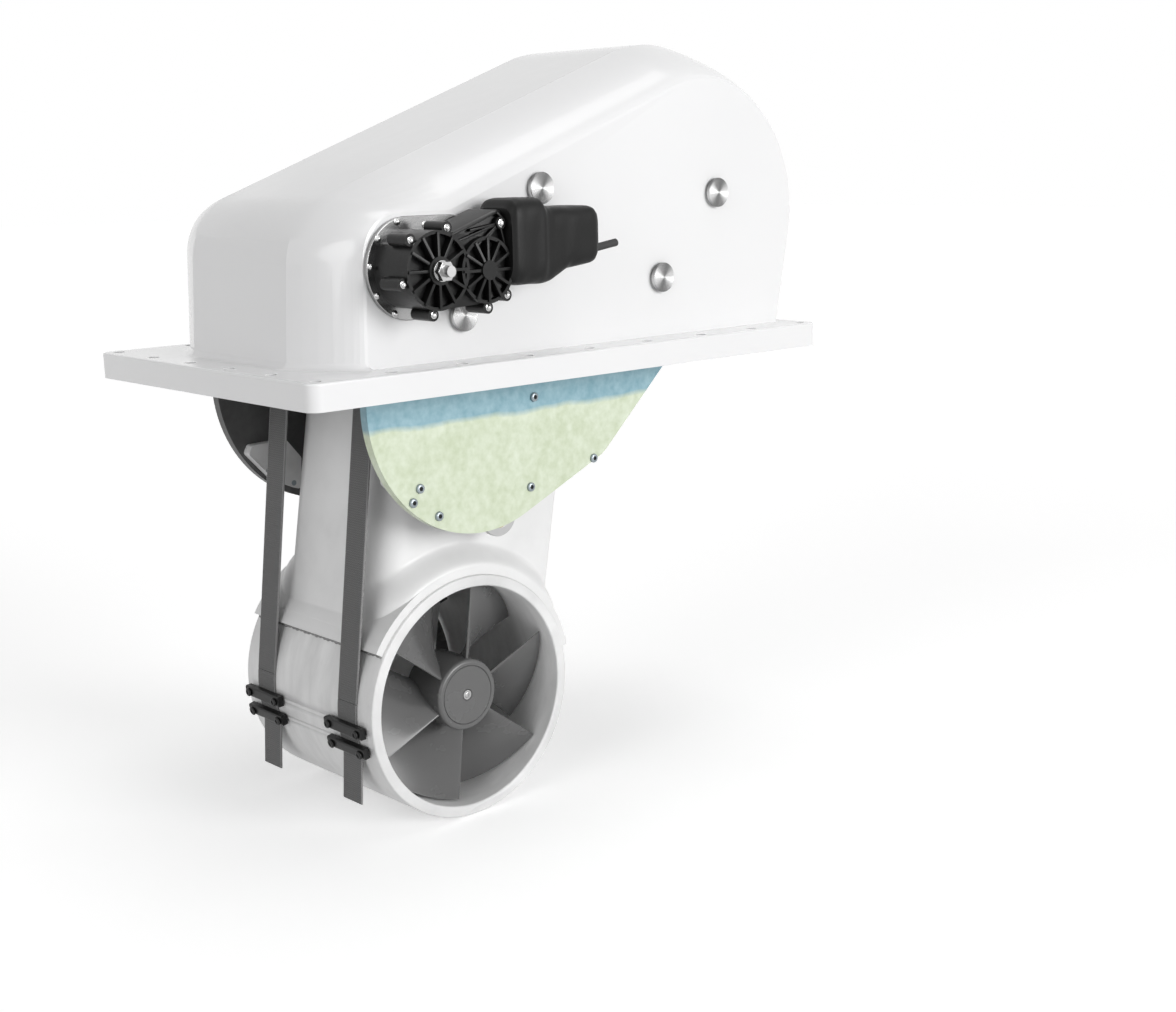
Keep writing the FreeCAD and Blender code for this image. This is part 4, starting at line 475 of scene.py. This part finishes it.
def solids_of(node):
    """The points of each separate solid in a CAD node: every point takes the lowest number that
    its edges lead to, until nothing changes."""
    mesh = merged_copy(node)
    points = read_points(mesh)
    edges = np.empty(len(mesh.edges) * 2, np.int32)
    mesh.edges.foreach_get("vertices", edges)
    edges = edges.reshape(-1, 2)
    label = np.arange(len(points))
    while True:
        lowest = np.minimum(label[edges[:, 0]], label[edges[:, 1]])
        known = label.copy()
        np.minimum.at(label, edges[:, 0], lowest)
        np.minimum.at(label, edges[:, 1], lowest)
        if (label == known).all():
            break
    bpy.data.meshes.remove(mesh)
    return [points[label == value] for value in np.unique(label)]


DRESSED = set()


def dress(node, finish=None, edge=0.0, crease=32.0):
    """A joined copy of a CAD node in its finish, with softened edges."""
    piece = put(node + "_dressed", merged_copy(node), BODY_OF[node], finish or FINISHES[SLOT_OF[node]],
                (node,))
    mark_sharp(piece, crease)
    if edge:
        bevel = piece.modifiers.new("edges", "BEVEL")
        bevel.width = edge
        bevel.segments = 2
        bevel.limit_method = "ANGLE"
        bevel.angle_limit = math.radians(40)
        bevel.harden_normals = True
    DRESSED.add(node)
    return piece


# Turned caps and screw heads
def make_caps():
    """Each cap is a shallow turned disc with rounded edges; its face is faced on a lathe."""
    columns = 72
    parts, spreads = [], []
    for solid in solids_of("bolt_caps"):
        low, high = solid.min(0), solid.max(0)
        side = np.sign(low[1] + high[1])
        radius, depth = (high[0] - low[0]) / 2, high[1] - low[1]
        edge = radius * 0.05
        rows = [(0, 0, 0), (radius - edge, 0, 0), (radius, edge, 0), (radius, depth - edge, 0)]
        rows += [(radius - edge * (1 - math.cos(a)), depth - edge * (1 - math.sin(a)), 0)
                 for a in np.linspace(0.3, math.pi / 2, 4)]
        rows += [(share * (radius - edge), depth, 0) for share in np.linspace(0.92, 0.04, 9)]
        points, faces = turned(rows + [(0, depth, 0)], columns)
        away = np.hypot(points[:, 0], points[:, 1])
        # UV Y: the share of the painted highlight, high on two opposite sides of each cap.
        light = 0.5 + 0.5 * np.sin(2 * np.arctan2(points[:, 1], points[:, 0]) + 1.1)
        centre = ((low[0] + high[0]) / 2, side * min(abs(low[1]), abs(high[1])), (low[2] + high[2]) / 2)
        parts.append((stand(points, centre, (0, side, 0)), faces))
        spreads.append(np.stack([away, light], -1))
    points, faces = joined(parts)
    mesh_piece("turned_caps", points, faces, "housing", FINISHES["turned"], ("bolt_caps",),
               np.concatenate(spreads))
    DRESSED.add("bolt_caps")


def socket_head(radius, height):
    """A domed screw head with a hexagon socket, standing on its underside."""
    key = radius * 0.5
    return turned([(0, 0, 0), (radius * 0.96, 0, 0), (radius, height * 0.15, 0), (radius, height * 0.35, 0),
                   (radius * 0.93, height * 0.72, 0), (radius * 0.78, height * 0.93, 0),
                   (radius * 0.62, height, 0), (key * 1.06, height, 1), (key, height * 0.96, 1),
                   (key * 0.98, height * 0.35, 1), (0, height * 0.3, 0)], 36)


def washer_screw(radius, height):
    """A domed head over a flange, as on the gearmotor."""
    rows = [(0, 0, 0), (radius, 0, 0), (radius, height * 0.2, 0), (radius * 0.8, height * 0.28, 0)]
    rows += [(radius * 0.76 * math.cos(a), height * (0.3 + 0.7 * math.sin(a)), 0)
             for a in np.linspace(0, math.pi / 2, 7)[:-1]]
    return turned(rows + [(0, height, 0)], 30)


def make_screws(node, finish, head, axis_of, height, key=0.0):
    """Swaps each solid of a node for a turned screw: a head, and a shank where the solid is
    longer than its head. axis_of gives the way a screw points from its middle, and key the share
    of the head's radius that a dark disc of painted shade fills in its socket."""
    parts, socket_shades = [], []
    for solid in solids_of(node):
        low, high = solid.min(0), solid.max(0)
        middle = (low + high) / 2
        axis = np.asarray(axis_of(middle), float)
        along = (solid - middle) @ axis
        aside = np.linalg.norm(solid - middle - along[:, None] * axis, axis=1)
        top, foot = along.max(), along.min()
        radius = aside.max()
        points, faces = head(radius, height)
        parts.append((stand(points, middle + axis * (top - height), axis), faces))
        # Painted shade: a dark disc down in the hex socket stands for the shade inside it.
        points, faces = turned([(0, 0, 0), (radius * key, 0, 0), (radius * key, height * 0.2, 0),
                                (0, height * 0.2, 0)], 24)
        socket_shades.append((stand(points, middle + axis * (top - height * 0.6), axis), faces))
        if top - foot > height * 1.3:
            stem = aside[along < foot + height * 0.2].max()
            points, faces = turned([(0, 0, 0), (stem, 0, 0), (stem, top - foot - height * 0.9, 0),
                                    (0, top - foot - height * 0.9, 0)], 24)
            parts.append((stand(points, middle + axis * foot, axis), faces))
    points, faces = joined(parts)
    mesh_piece(node + "_turned", points, faces, BODY_OF[node], finish, (node,))
    if key:
        # The dark socket discs are painted shade, in the black plastic finish.
        points, faces = joined(socket_shades)
        mesh_piece(node + "_sockets", points, faces, BODY_OF[node], FINISHES["black_plastic"], ())
    DRESSED.add(node)


def away_from_middle(middle):
    return (0, np.sign(middle[1]), 0)


def away_from_tunnel(middle):
    gap = (middle - TUNNEL_AXIS) * (1, 0, 1)
    return gap / np.linalg.norm(gap)


# Mouldings
def foot_outline():
    """The housing's outline on the flange as points in order, every 2 mm: the housing's own points
    at the flange's upper face, sorted about the middle and spaced evenly along their length."""
    mesh = merged_copy("housing_shell")
    points = read_points(mesh)
    bpy.data.meshes.remove(mesh)
    outline = points[(abs(points[:, 2] - FLANGE_TOP) < 1e-5) & (abs(points[:, 1]) < SHELL_HALF + 0.0005)
                     & (abs(points[:, 0]) < SHELL_REACH)][:, :2]
    outline = outline[np.hypot(outline[:, 0], outline[:, 1]) > SHELL_HALF - 0.002]
    outline = outline[np.argsort(np.arctan2(outline[:, 1], outline[:, 0]))]
    closed = np.vstack([outline, outline[:1]])
    length = np.concatenate([[0], np.cumsum(np.hypot(*np.diff(closed, axis=0).T))])
    steps = np.linspace(0, length[-1], int(length[-1] / 0.002) + 1)[:-1]
    return np.stack([np.interp(steps, length, closed[:, 0]), np.interp(steps, length, closed[:, 1])], -1)


def make_foot_fillet():
    """A concave fillet between the housing and the hull flange, round the foot outline. Its section
    is a quarter circle, out = radius (1 - sin a) and up = radius (1 - cos a), closed by one point
    inside the wall; the low end wall leans back, so the section leans with it there."""
    outline = foot_outline()
    radius, sink, columns = 0.0065, 0.0015, 10
    along = np.roll(outline, -4, 0) - np.roll(outline, 4, 0)
    out = np.stack([along[:, 1], -along[:, 0]], -1) / np.hypot(along[:, 0], along[:, 1])[:, None]
    turn = np.linspace(0, math.pi / 2, columns)
    away = np.append(radius * (1 - np.sin(turn)), -sink)
    up = np.append(radius * (1 - np.cos(turn)), -sink)
    away[0], up[0] = radius + 0.0003, -0.0002
    lean = 0.085 * np.clip(-out[:, 0], 0, 1)
    shift = away[None] - lean[:, None] * np.maximum(up, 0)[None]
    shift[:, columns // 2:] -= 0.0002
    flat = outline[:, None] + out[:, None] * shift[..., None]
    points = np.concatenate([flat, np.broadcast_to(FLANGE_TOP + up, flat.shape[:2])[..., None]], -1)
    faces = grid_faces(len(outline), columns + 1, True, True)
    mesh_piece("housing_foot", points.reshape(-1, 3), faces, "housing", FINISHES["gelcoat"], ())


def rounded_loop(half_x, half_y, corner, step=0.003):
    """A rounded rectangle as points about every step, counter-clockwise: four quarter circles of
    the corner radius, with straight runs divided evenly between them."""
    loop = []
    spots = ((1, 1), (-1, 1), (-1, -1), (1, -1))
    for index, (side_x, side_y) in enumerate(spots):
        turn = (index + np.linspace(0, 1, int(corner * math.pi / 2 / step) + 2)) * math.pi / 2
        middle = np.array([side_x * (half_x - corner), side_y * (half_y - corner)])
        arc = middle + corner * np.stack([np.cos(turn), np.sin(turn)], -1)
        run = 2 * (half_y - corner if index % 2 else half_x - corner)
        way = np.array([-math.sin(turn[-1]), math.cos(turn[-1])])
        count = int(run / step)
        loop += [arc, arc[-1] + way * np.linspace(0, run, count + 1)[1:-1, None]]
    return np.concatenate(loop)


def make_leg_skin():
    """The leg's outer moulding. Each upright line of the grid keeps its place on a rounded
    rectangle; near the tunnel, where the distance r from its axis falls from 1.16 to 1 collar
    radius, the width swells to the collar's width by t * t * (3 - 2t), t being the share of the
    way. At the front the wall follows the collar's own round, root of (radius squared - height
    squared), and its lower edge runs inside the collar, along the tunnel and then level."""
    collar, rim = TUNNEL_RADIUS + COLLAR_THICK, TUNNEL_RADIUS + 0.002
    collar_half = TUNNEL_HALF - COLLAR_STEP
    flare = 0.16 * collar
    foot = collar * math.cos(math.radians(COLLAR_ANGLE))
    loop = rounded_loop(LEG_DEPTH / 2, LEG_WIDTH / 2, LEG_CORNER)
    across, aside = loop[:, 0] + LEG_ASIDE, loop[:, 1]
    start = np.sqrt(np.maximum(rim ** 2 - across ** 2, foot ** 2))
    share = np.linspace(0, 1, 90)[:, None] ** 1.6
    up = start + (LEG_TOP - start) * share
    away = np.hypot(across[None], up)
    t = np.clip((collar + flare - away) / flare, 0, 1)
    wide = aside * (1 + (collar_half / (LEG_WIDTH / 2) - 1) * t * t * (3 - 2 * t))
    round_wall = np.sqrt(np.maximum(collar ** 2 - up ** 2, 0))
    swell = np.maximum(round_wall - (LEG_DEPTH / 2 - LEG_ASIDE), 0)
    forward = np.clip(-loop[:, 0] / (LEG_DEPTH / 2), 0, 1) ** 6
    deep = across - swell * forward
    points = TUNNEL_AXIS + deep[..., None] * LEG_ACROSS + up[..., None] * LEG_UP
    points = (points + wide[..., None] * ACROSS).reshape(-1, 3)
    piece = mesh_piece("leg_moulding", points, grid_faces(*deep.shape, False, True), "leg",
                       FINISHES["leg_paint"], ())
    outward(piece)
    mark_sharp(piece, 50)
    wall = piece.modifiers.new("wall", "SOLIDIFY")
    wall.thickness = LEG_WALL
    wall.offset = -1


def blade_form(face, deep, side, first):
    """One broad blade. A point lies at the share s of the way from the blade's outer edge to its
    inner edge, so its angle is first - wide * s and its depth 0.004 + deep * s. The front and back
    lie half a thickness off that, thick * (0.25 + 0.75 * root of 4s(1 - s)) / 2, along the normal."""
    rows, half = 26, 22
    radius = np.linspace(HUB_RADIUS - 0.003, BLADE_RADIUS, rows)[:, None]
    part = (radius - radius[0]) / (radius[-1] - radius[0])
    spread = (1 - np.cos(np.linspace(0, math.pi, half))) / 2
    share = np.concatenate([spread, spread[::-1]])[None]
    flank = np.repeat((-1.0, 1.0), half)[None]
    wide, thick = np.radians(46 + 9 * part), 0.0052 - 0.0030 * part
    push = flank * thick * (0.25 + 0.75 * np.sqrt(4 * share * (1 - share))) / 2
    pitch = np.arctan2(deep, radius * wide)
    angle = first - wide * share + push * np.sin(pitch) / radius
    depth = 0.004 + deep * share + push * np.cos(pitch)
    points = np.stack([radius * np.cos(angle), side * (face - depth), radius * np.sin(angle)], -1)
    j, top = np.arange(half - 1), (rows - 1) * 2 * half
    ends = np.stack([j, j + 1, 2 * half - 2 - j, 2 * half - 1 - j], -1)
    faces = list(grid_faces(rows, 2 * half, False, True)) + list(ends) + list(ends[:, ::-1] + top)
    return points.reshape(-1, 3) + TUNNEL_AXIS, faces


def make_propeller(name):
    """Six broad blades that end close to the tunnel's wall, on a turned hub with a fine groove near
    its rim and a small bolt in its middle; the far propeller is the near one's mirror image."""
    low, high = span("propeller_" + name)
    side = -1 if name == "near" else 1
    back, face = sorted((abs(low[1]), abs(high[1])))
    deep = face - back
    parts = [blade_form(face, deep - 0.008, side, math.radians(BLADE_PHASE + 360 / BLADES * k))
             for k in range(BLADES)]
    corner, groove, seat = 0.003, HUB_RADIUS - 0.0048, deep - 0.0022
    rows = [(0, 0, 0), (HUB_RADIUS - 0.001, 0, 0), (HUB_RADIUS, 0.001, 0), (HUB_RADIUS, deep - corner, 0)]
    rows += [(HUB_RADIUS - corner * (1 - math.cos(a)), deep - corner * (1 - math.sin(a)), 0)
             for a in np.linspace(0.2, math.pi / 2, 6)]
    rows += [(groove, deep, 0), (groove - 0.0005, deep - 0.0007, 0), (groove - 0.001, deep, 0),
             (0.0052, deep, 0), (0.0046, deep - 0.0006, 0), (0.0040, seat, 0), (0, seat, 0)]
    hub, faces = turned(rows, 72)
    parts.append((stand(hub, TUNNEL_AXIS + (0, side * back, 0), (0, side, 0)), faces))
    points, faces = joined(parts)
    node = "propeller_" + name
    outward(mesh_piece(node + "_moulded", points, faces, BODY_OF[node], FINISHES["propeller"], (node,)))
    head, faces = socket_head(0.003, 0.0022)
    head = stand(head, TUNNEL_AXIS + (0, side * (back + seat), 0), (0, side, 0))
    mesh_piece("propeller_bolt_" + name, head, faces, BODY_OF[node], FINISHES["stainless"], ())
    DRESSED.add(node)


# Gearmotor. Places on its face are (x, z): the middle of the third lobe, the far ends of the ribs
# that start there, and the corners of the lobe's rim.
GEAR_LOBE = (-0.104, 0.1205)
RIB_ENDS = ((-0.146, 0.1085), (-0.131, 0.1165), (-0.128, 0.1035), (-0.115, 0.1105), (-0.099, 0.104))
LOBE_RIM = ((-0.149, 0.1135), (-0.1065, 0.1285), (-0.0965, 0.120), (-0.0895, 0.097))
RIB_HALF, RIB_RISE = 0.0009, 0.0042


def make_gear_lobe():
    """The third lobe of the gear case, between the two discs and the motor: a belt round three
    circles with a screw boss and straight ribs on its face."""
    case_low, _ = span("gear_case")
    seat_low, _ = span("gearmotor_seat")
    back, face = seat_low[1] - 0.0003, case_low[1] - 0.0012
    x, z = GEAR_LOBE
    lobe = ((-0.143, 0.100, 0.0155), (x, z, 0.0095), (-0.098, 0.094, 0.010))
    parts = [belt_prism(lobe, back, face, 0.001)]
    ribs = [(GEAR_LOBE, end) for end in RIB_ENDS] + list(zip(LOBE_RIM, LOBE_RIM[1:]))
    parts += [belt_prism(((*start, RIB_HALF), (*end, RIB_HALF)), face + 0.001, face - RIB_RISE, 0.0004, 24)
              for start, end in ribs]
    boss, faces = turned([(0, 0, 0), (0.0046, 0, 0), (0.0044, 0.006, 0), (0.0040, 0.0066, 0),
                          (0, 0.0066, 0)], 32)
    parts.append((stand(boss, (x, face + 0.001, z), (0, -1, 0)), faces))
    points, faces = joined(parts)
    outward(mesh_piece("gear_lobe", points, faces, "housing", FINISHES["black_plastic"], ()))
    head, faces = washer_screw(0.0030, 0.0022)
    mesh_piece("lobe_screw", stand(head, (x, face - 0.0056, z), (0, -1, 0)), faces, "housing",
               FINISHES["zinc"], ())


BOOT_STATIONS = np.array([
    # place along X, top, underside, half depth across Y
    (-0.0985, 0.1300, 0.0800, 0.0190),
    (-0.0955, 0.1365, 0.0765, 0.0215),
    (-0.0900, 0.1380, 0.0750, 0.0222),
    (-0.0680, 0.1380, 0.0750, 0.0222),
    (-0.0640, 0.1325, 0.0750, 0.0205),
    (-0.0580, 0.1310, 0.0760, 0.0200),
    (-0.0400, 0.1308, 0.0845, 0.0195),
    (-0.0160, 0.1306, 0.0870, 0.0190),
    (-0.0115, 0.1295, 0.0885, 0.0180),
    (-0.0100, 0.1270, 0.0920, 0.0160),
])


def make_boot():
    """The soft boot over the motor and its bell, carried along X. A section is a superellipse,
    |y / half depth| ^ 5 + |z / half height| ^ 5 = 1; its top, underside and depth follow the
    stations, evened out, and long shallow creases run across it as products of sine waves."""
    rows, columns, power = 150, 96, 5.0
    along = np.linspace(BOOT_STATIONS[0, 0], BOOT_STATIONS[-1, 0], rows)
    even = np.ones(7) / 7
    lines = [np.interp(along, BOOT_STATIONS[:, 0], BOOT_STATIONS[:, k]) for k in (1, 2, 3)]
    top, foot, half = (np.convolve(np.pad(line, 3, "edge"), even, "valid") for line in lines)
    angles = np.arange(columns) * 2 * math.pi / columns
    cos, sin = np.cos(angles), np.sin(angles)
    flat_cos = np.sign(cos) * np.abs(cos) ** (2 / power)
    flat_sin = np.sign(sin) * np.abs(sin) ** (2 / power)
    place, up, side = along[:, None], sin[None], cos[None]
    crease = 0.010 * np.sin(place * 130 + 2.2 * up) * np.sin(place * 70 + 3 * side)
    crease += 0.006 * np.sin(place * 330 - 5 * up + 2 * side) * np.sin(place * 90 + 2)
    width = half[:, None] * (1 + crease) * flat_cos[None]
    height = ((top - foot) / 2)[:, None] * (1 + 0.5 * crease) * flat_sin[None]
    axis_y = JOINTS["worm_spin"]["pos_m"][1]
    points = np.stack([np.broadcast_to(along[:, None], width.shape), axis_y + width,
                       ((top + foot) / 2)[:, None] + height], -1).reshape(-1, 3)
    middles = ((top + foot) / 2)[[0, -1]]
    poles = np.array([[along[0], axis_y, middles[0]], [along[-1] + 0.0008, axis_y, middles[1]]])
    outward(mesh_piece("motor_boot", np.concatenate([points, poles]), capped_faces(rows, columns), "housing",
                       FINISHES["boot"], ("motor_bell", "winch_motor_case")))
    DRESSED.update(("motor_bell", "winch_motor_case"))


def make_lead():
    """The lead's sleeve, leaving the boot's lower corner and rising a little."""
    low, high = span("lead_sleeve")
    start = np.array([low[0] - 0.004, (low[1] + high[1]) / 2, 0.0955])
    end = np.array([high[0], (low[1] + high[1]) / 2, (low[2] + high[2]) / 2])
    length, radius = float(np.linalg.norm(end - start)), (high[1] - low[1]) / 2
    points, faces = turned([(0, 0, 0), (radius * 1.25, 0, 0), (radius * 1.2, 0.006, 0), (radius, 0.010, 0),
                            (radius, length - 0.0005, 0), (radius - 0.0005, length, 0),
                            (radius * 0.6, length, 0), (radius * 0.55, length - 0.0008, 0),
                            (0, length - 0.0008, 0)], 32)
    mesh_piece("lead_sleeve_turned", stand(points, start, end - start), faces, "housing", FINISHES["rubber"],
               ("lead_sleeve",))
    DRESSED.add("lead_sleeve")


# Seam and straps
TAIL_HANG = 0.85


def make_glue_bead():
    """The glued seam under the collar, front and back: a thin uneven bead along Y, its radius a
    middle value plus two sine waves of the place along it."""
    half = TUNNEL_HALF - COLLAR_STEP - 0.0003
    rows, columns = 240, 12
    place = np.linspace(-half, half, rows)
    thick = 0.0010 + 0.00035 * np.sin(place * 430 + 1) + 0.0003 * np.sin(place * 1130)
    around = np.arange(columns) * 2 * math.pi / columns
    parts = []
    for side in (-1, 1):
        angle = math.atan2(LEG_UP[0], LEG_UP[2]) + side * math.radians(COLLAR_ANGLE + 0.3)
        out = np.array([math.sin(angle), 0, math.cos(angle)])
        down = np.array([math.cos(angle), 0, -math.sin(angle)])
        spot = TUNNEL_AXIS + out * (TUNNEL_RADIUS + 0.0006)
        ring = np.cos(around)[:, None] * out + np.sin(around)[:, None] * down
        centre = spot + place[:, None] * ACROSS
        grid = (centre[:, None] + ring[None] * thick[:, None, None]).reshape(-1, 3)
        ends = np.array([spot + (0, end * (half + 0.0008), 0) for end in (-1, 1)])
        parts.append((np.concatenate([grid, ends]), capped_faces(rows, columns)))
    points, faces = joined(parts)
    piece = mesh_piece("glue_bead", points, faces, "leg", FINISHES["glue"], ())
    outward(piece)


def hang_tail(piece):
    """Bends a strap's tail down. The tail starts at its last clamp; points past the clamp's lower
    edge turn about that edge by TAIL_HANG of the angle from the tail's own slope to upright."""
    side = math.copysign(1.0, piece.data.vertices[0].co.y)
    clamps = [solid for solid in solids_of("strap_clamps") if solid[:, 1].mean() * side > 0]
    clamp = min(clamps, key=lambda solid: solid[:, 2].mean())
    edge = clamp[clamp[:, 2] < clamp[:, 2].min() + 0.0005].mean(0)
    points = read_points(piece.data)
    end = points[points[:, 2] < points[:, 2].min() + 0.001].mean(0)
    past = points[:, 2] < edge[2]
    lean = math.atan2(end[0] - edge[0], edge[2] - end[2]) * TAIL_HANG
    c, s = math.cos(lean), math.sin(lean)
    away = points[past][:, (0, 2)] - edge[[0, 2]]
    points[past, 0] = edge[0] + away[:, 0] * c + away[:, 1] * s
    points[past, 2] = edge[2] - away[:, 0] * s + away[:, 1] * c
    piece.data.vertices.foreach_set("co", points.ravel())
    piece.data.update()


def make_straps():
    """Dresses each strap and its end: the strap gets its own copy of its mesh, the end's tail is hung down, and
    the ends ride the leg.
    """
    for name in ("near", "far"):
        piece = dress("strap_" + name, edge=0.0003)
        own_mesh(piece)
        hang_tail(dress("strap_end_" + name, edge=0.0003))


EDGES = {"side_plate_near": 0.0006, "side_plate_far": 0.0006, "stop_block_near": 0.001,
         "stop_block_far": 0.001, "gear_case": 0.0006, "gear_cover": 0.0004, "gearmotor_seat": 0.0008,
         "shaft_nut": 0.0004, "swing_arm_near": 0.0005, "swing_arm_far": 0.0005}
LOOKS = {"tunnel_tube": "tube_paint", "gearmotor_seat": "seat", "shaft_nut": "zinc"}
CREASES = {"housing_shell": 12.0}


def dress_the_rest():
    for node in sorted(NODES):
        if node not in DRESSED:
            finish = FINISHES[LOOKS[node]] if node in LOOKS else None
            dress(node, finish, EDGES.get(node, 0.0), CREASES.get(node, 32.0))


make_caps()
make_screws("plate_screws", FINISHES["blued_screw"], socket_head, away_from_middle, 0.0022, 0.47)
make_screws("clamp_screws", FINISHES["dark_screw"], socket_head, away_from_tunnel, 0.0013, 0.47)
make_screws("gearmotor_screws", FINISHES["zinc"], washer_screw, lambda middle: (0, -1, 0), 0.0024)
make_foot_fillet()
make_gear_lobe()
make_boot()
make_lead()
make_leg_skin()
make_propeller("near")
make_propeller("far")
make_glue_bead()
dress("leg_casing", crease=25.0)
make_straps()
dress_the_rest()


# Camera, floor and light
def set_camera():
    """The photograph's view: place, aim and lens as the picture's perspective gives them."""
    camera = bpy.data.objects.new("camera", bpy.data.cameras.new("camera"))
    bpy.context.scene.collection.objects.link(camera)
    camera.data.sensor_width = 36.0
    camera.data.lens = 49.61
    camera.data.shift_x = -0.0199
    camera.data.shift_y = 0.0752
    azimuth, elevation, roll = (math.radians(angle) for angle in (-43.775, 15.022, -0.888))
    aim = Vector((-math.sin(azimuth) * math.cos(elevation), math.cos(azimuth) * math.cos(elevation),
                  -math.sin(elevation)))
    turn = aim.to_track_quat("-Z", "Y").to_matrix() @ Matrix.Rotation(roll, 3, "Z")
    camera.matrix_world = Matrix.Translation((-0.8815, -1.0796, 0.1638)) @ turn.to_4x4()
    bpy.context.scene.camera = camera


def seen_directly(tree):
    """1 for what the eye sees straight, in a reflection or through glass, 0 for other light."""
    path = tree.nodes.new("ShaderNodeLightPath")
    seen = path.outputs["Is Camera Ray"]
    for kind in ("Is Glossy Ray", "Is Transmission Ray"):
        either = tree.nodes.new("ShaderNodeMath")
        either.operation = "MAXIMUM"
        tree.links.new(seen, either.inputs[0])
        tree.links.new(path.outputs[kind], either.inputs[1])
        seen = either.outputs[0]
    return seen


def set_floor():
    """A pale floor that keeps the shadow; what the eye sees of it is lifted to white."""
    low = min(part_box(node)[0].z for node in NODES)
    size = 14.0
    mesh = bpy.data.meshes.new("floor")
    corners = [(-size, -size, low), (size, -size, low), (size, size, low), (-size, size, low)]
    mesh.from_pydata(corners, [], [(0, 1, 2, 3)])
    floor = bpy.data.objects.new("floor", mesh)
    bpy.context.scene.collection.objects.link(floor)
    finish = Finish("floor", rgb(0.9), 1.0)
    finish.set("Specular IOR Level", 0.0)
    finish.set("Emission Strength", 1.0)
    seen = Wire(finish, seen_directly(finish.tree))
    finish.set("Emission Color", finish.mix(seen, tone(0.0), tone(FLOOR_LIFT)))
    mesh.materials.append(finish.material)


def set_light():
    """A white studio: the world is white to the eye and in reflections, and lights a little less."""
    world = bpy.data.worlds.new("studio")
    bpy.context.scene.world = world
    world.use_nodes = True
    tree = world.node_tree
    strength = tree.nodes.new("ShaderNodeMapRange")
    strength.inputs["To Min"].default_value = WORLD_LIGHT
    strength.inputs["To Max"].default_value = 1.0
    tree.links.new(seen_directly(tree), strength.inputs["Value"])
    back = tree.nodes["Background"]
    back.inputs["Color"].default_value = (1.0, 1.0, 1.0, 1.0)
    tree.links.new(strength.outputs[0], back.inputs["Strength"])
    for name, spot, angle, power in LAMPS:
        lamp = bpy.data.lights.new(name, "SUN")
        lamp.angle = angle
        lamp.energy = power
        item = bpy.data.objects.new(name, lamp)
        item.matrix_world = (-Vector(spot)).to_track_quat("-Z", "Y").to_matrix().to_4x4()
        bpy.context.scene.collection.objects.link(item)


set_camera()
set_floor()
set_light()
bpy.context.scene.view_settings.view_transform = "Standard"
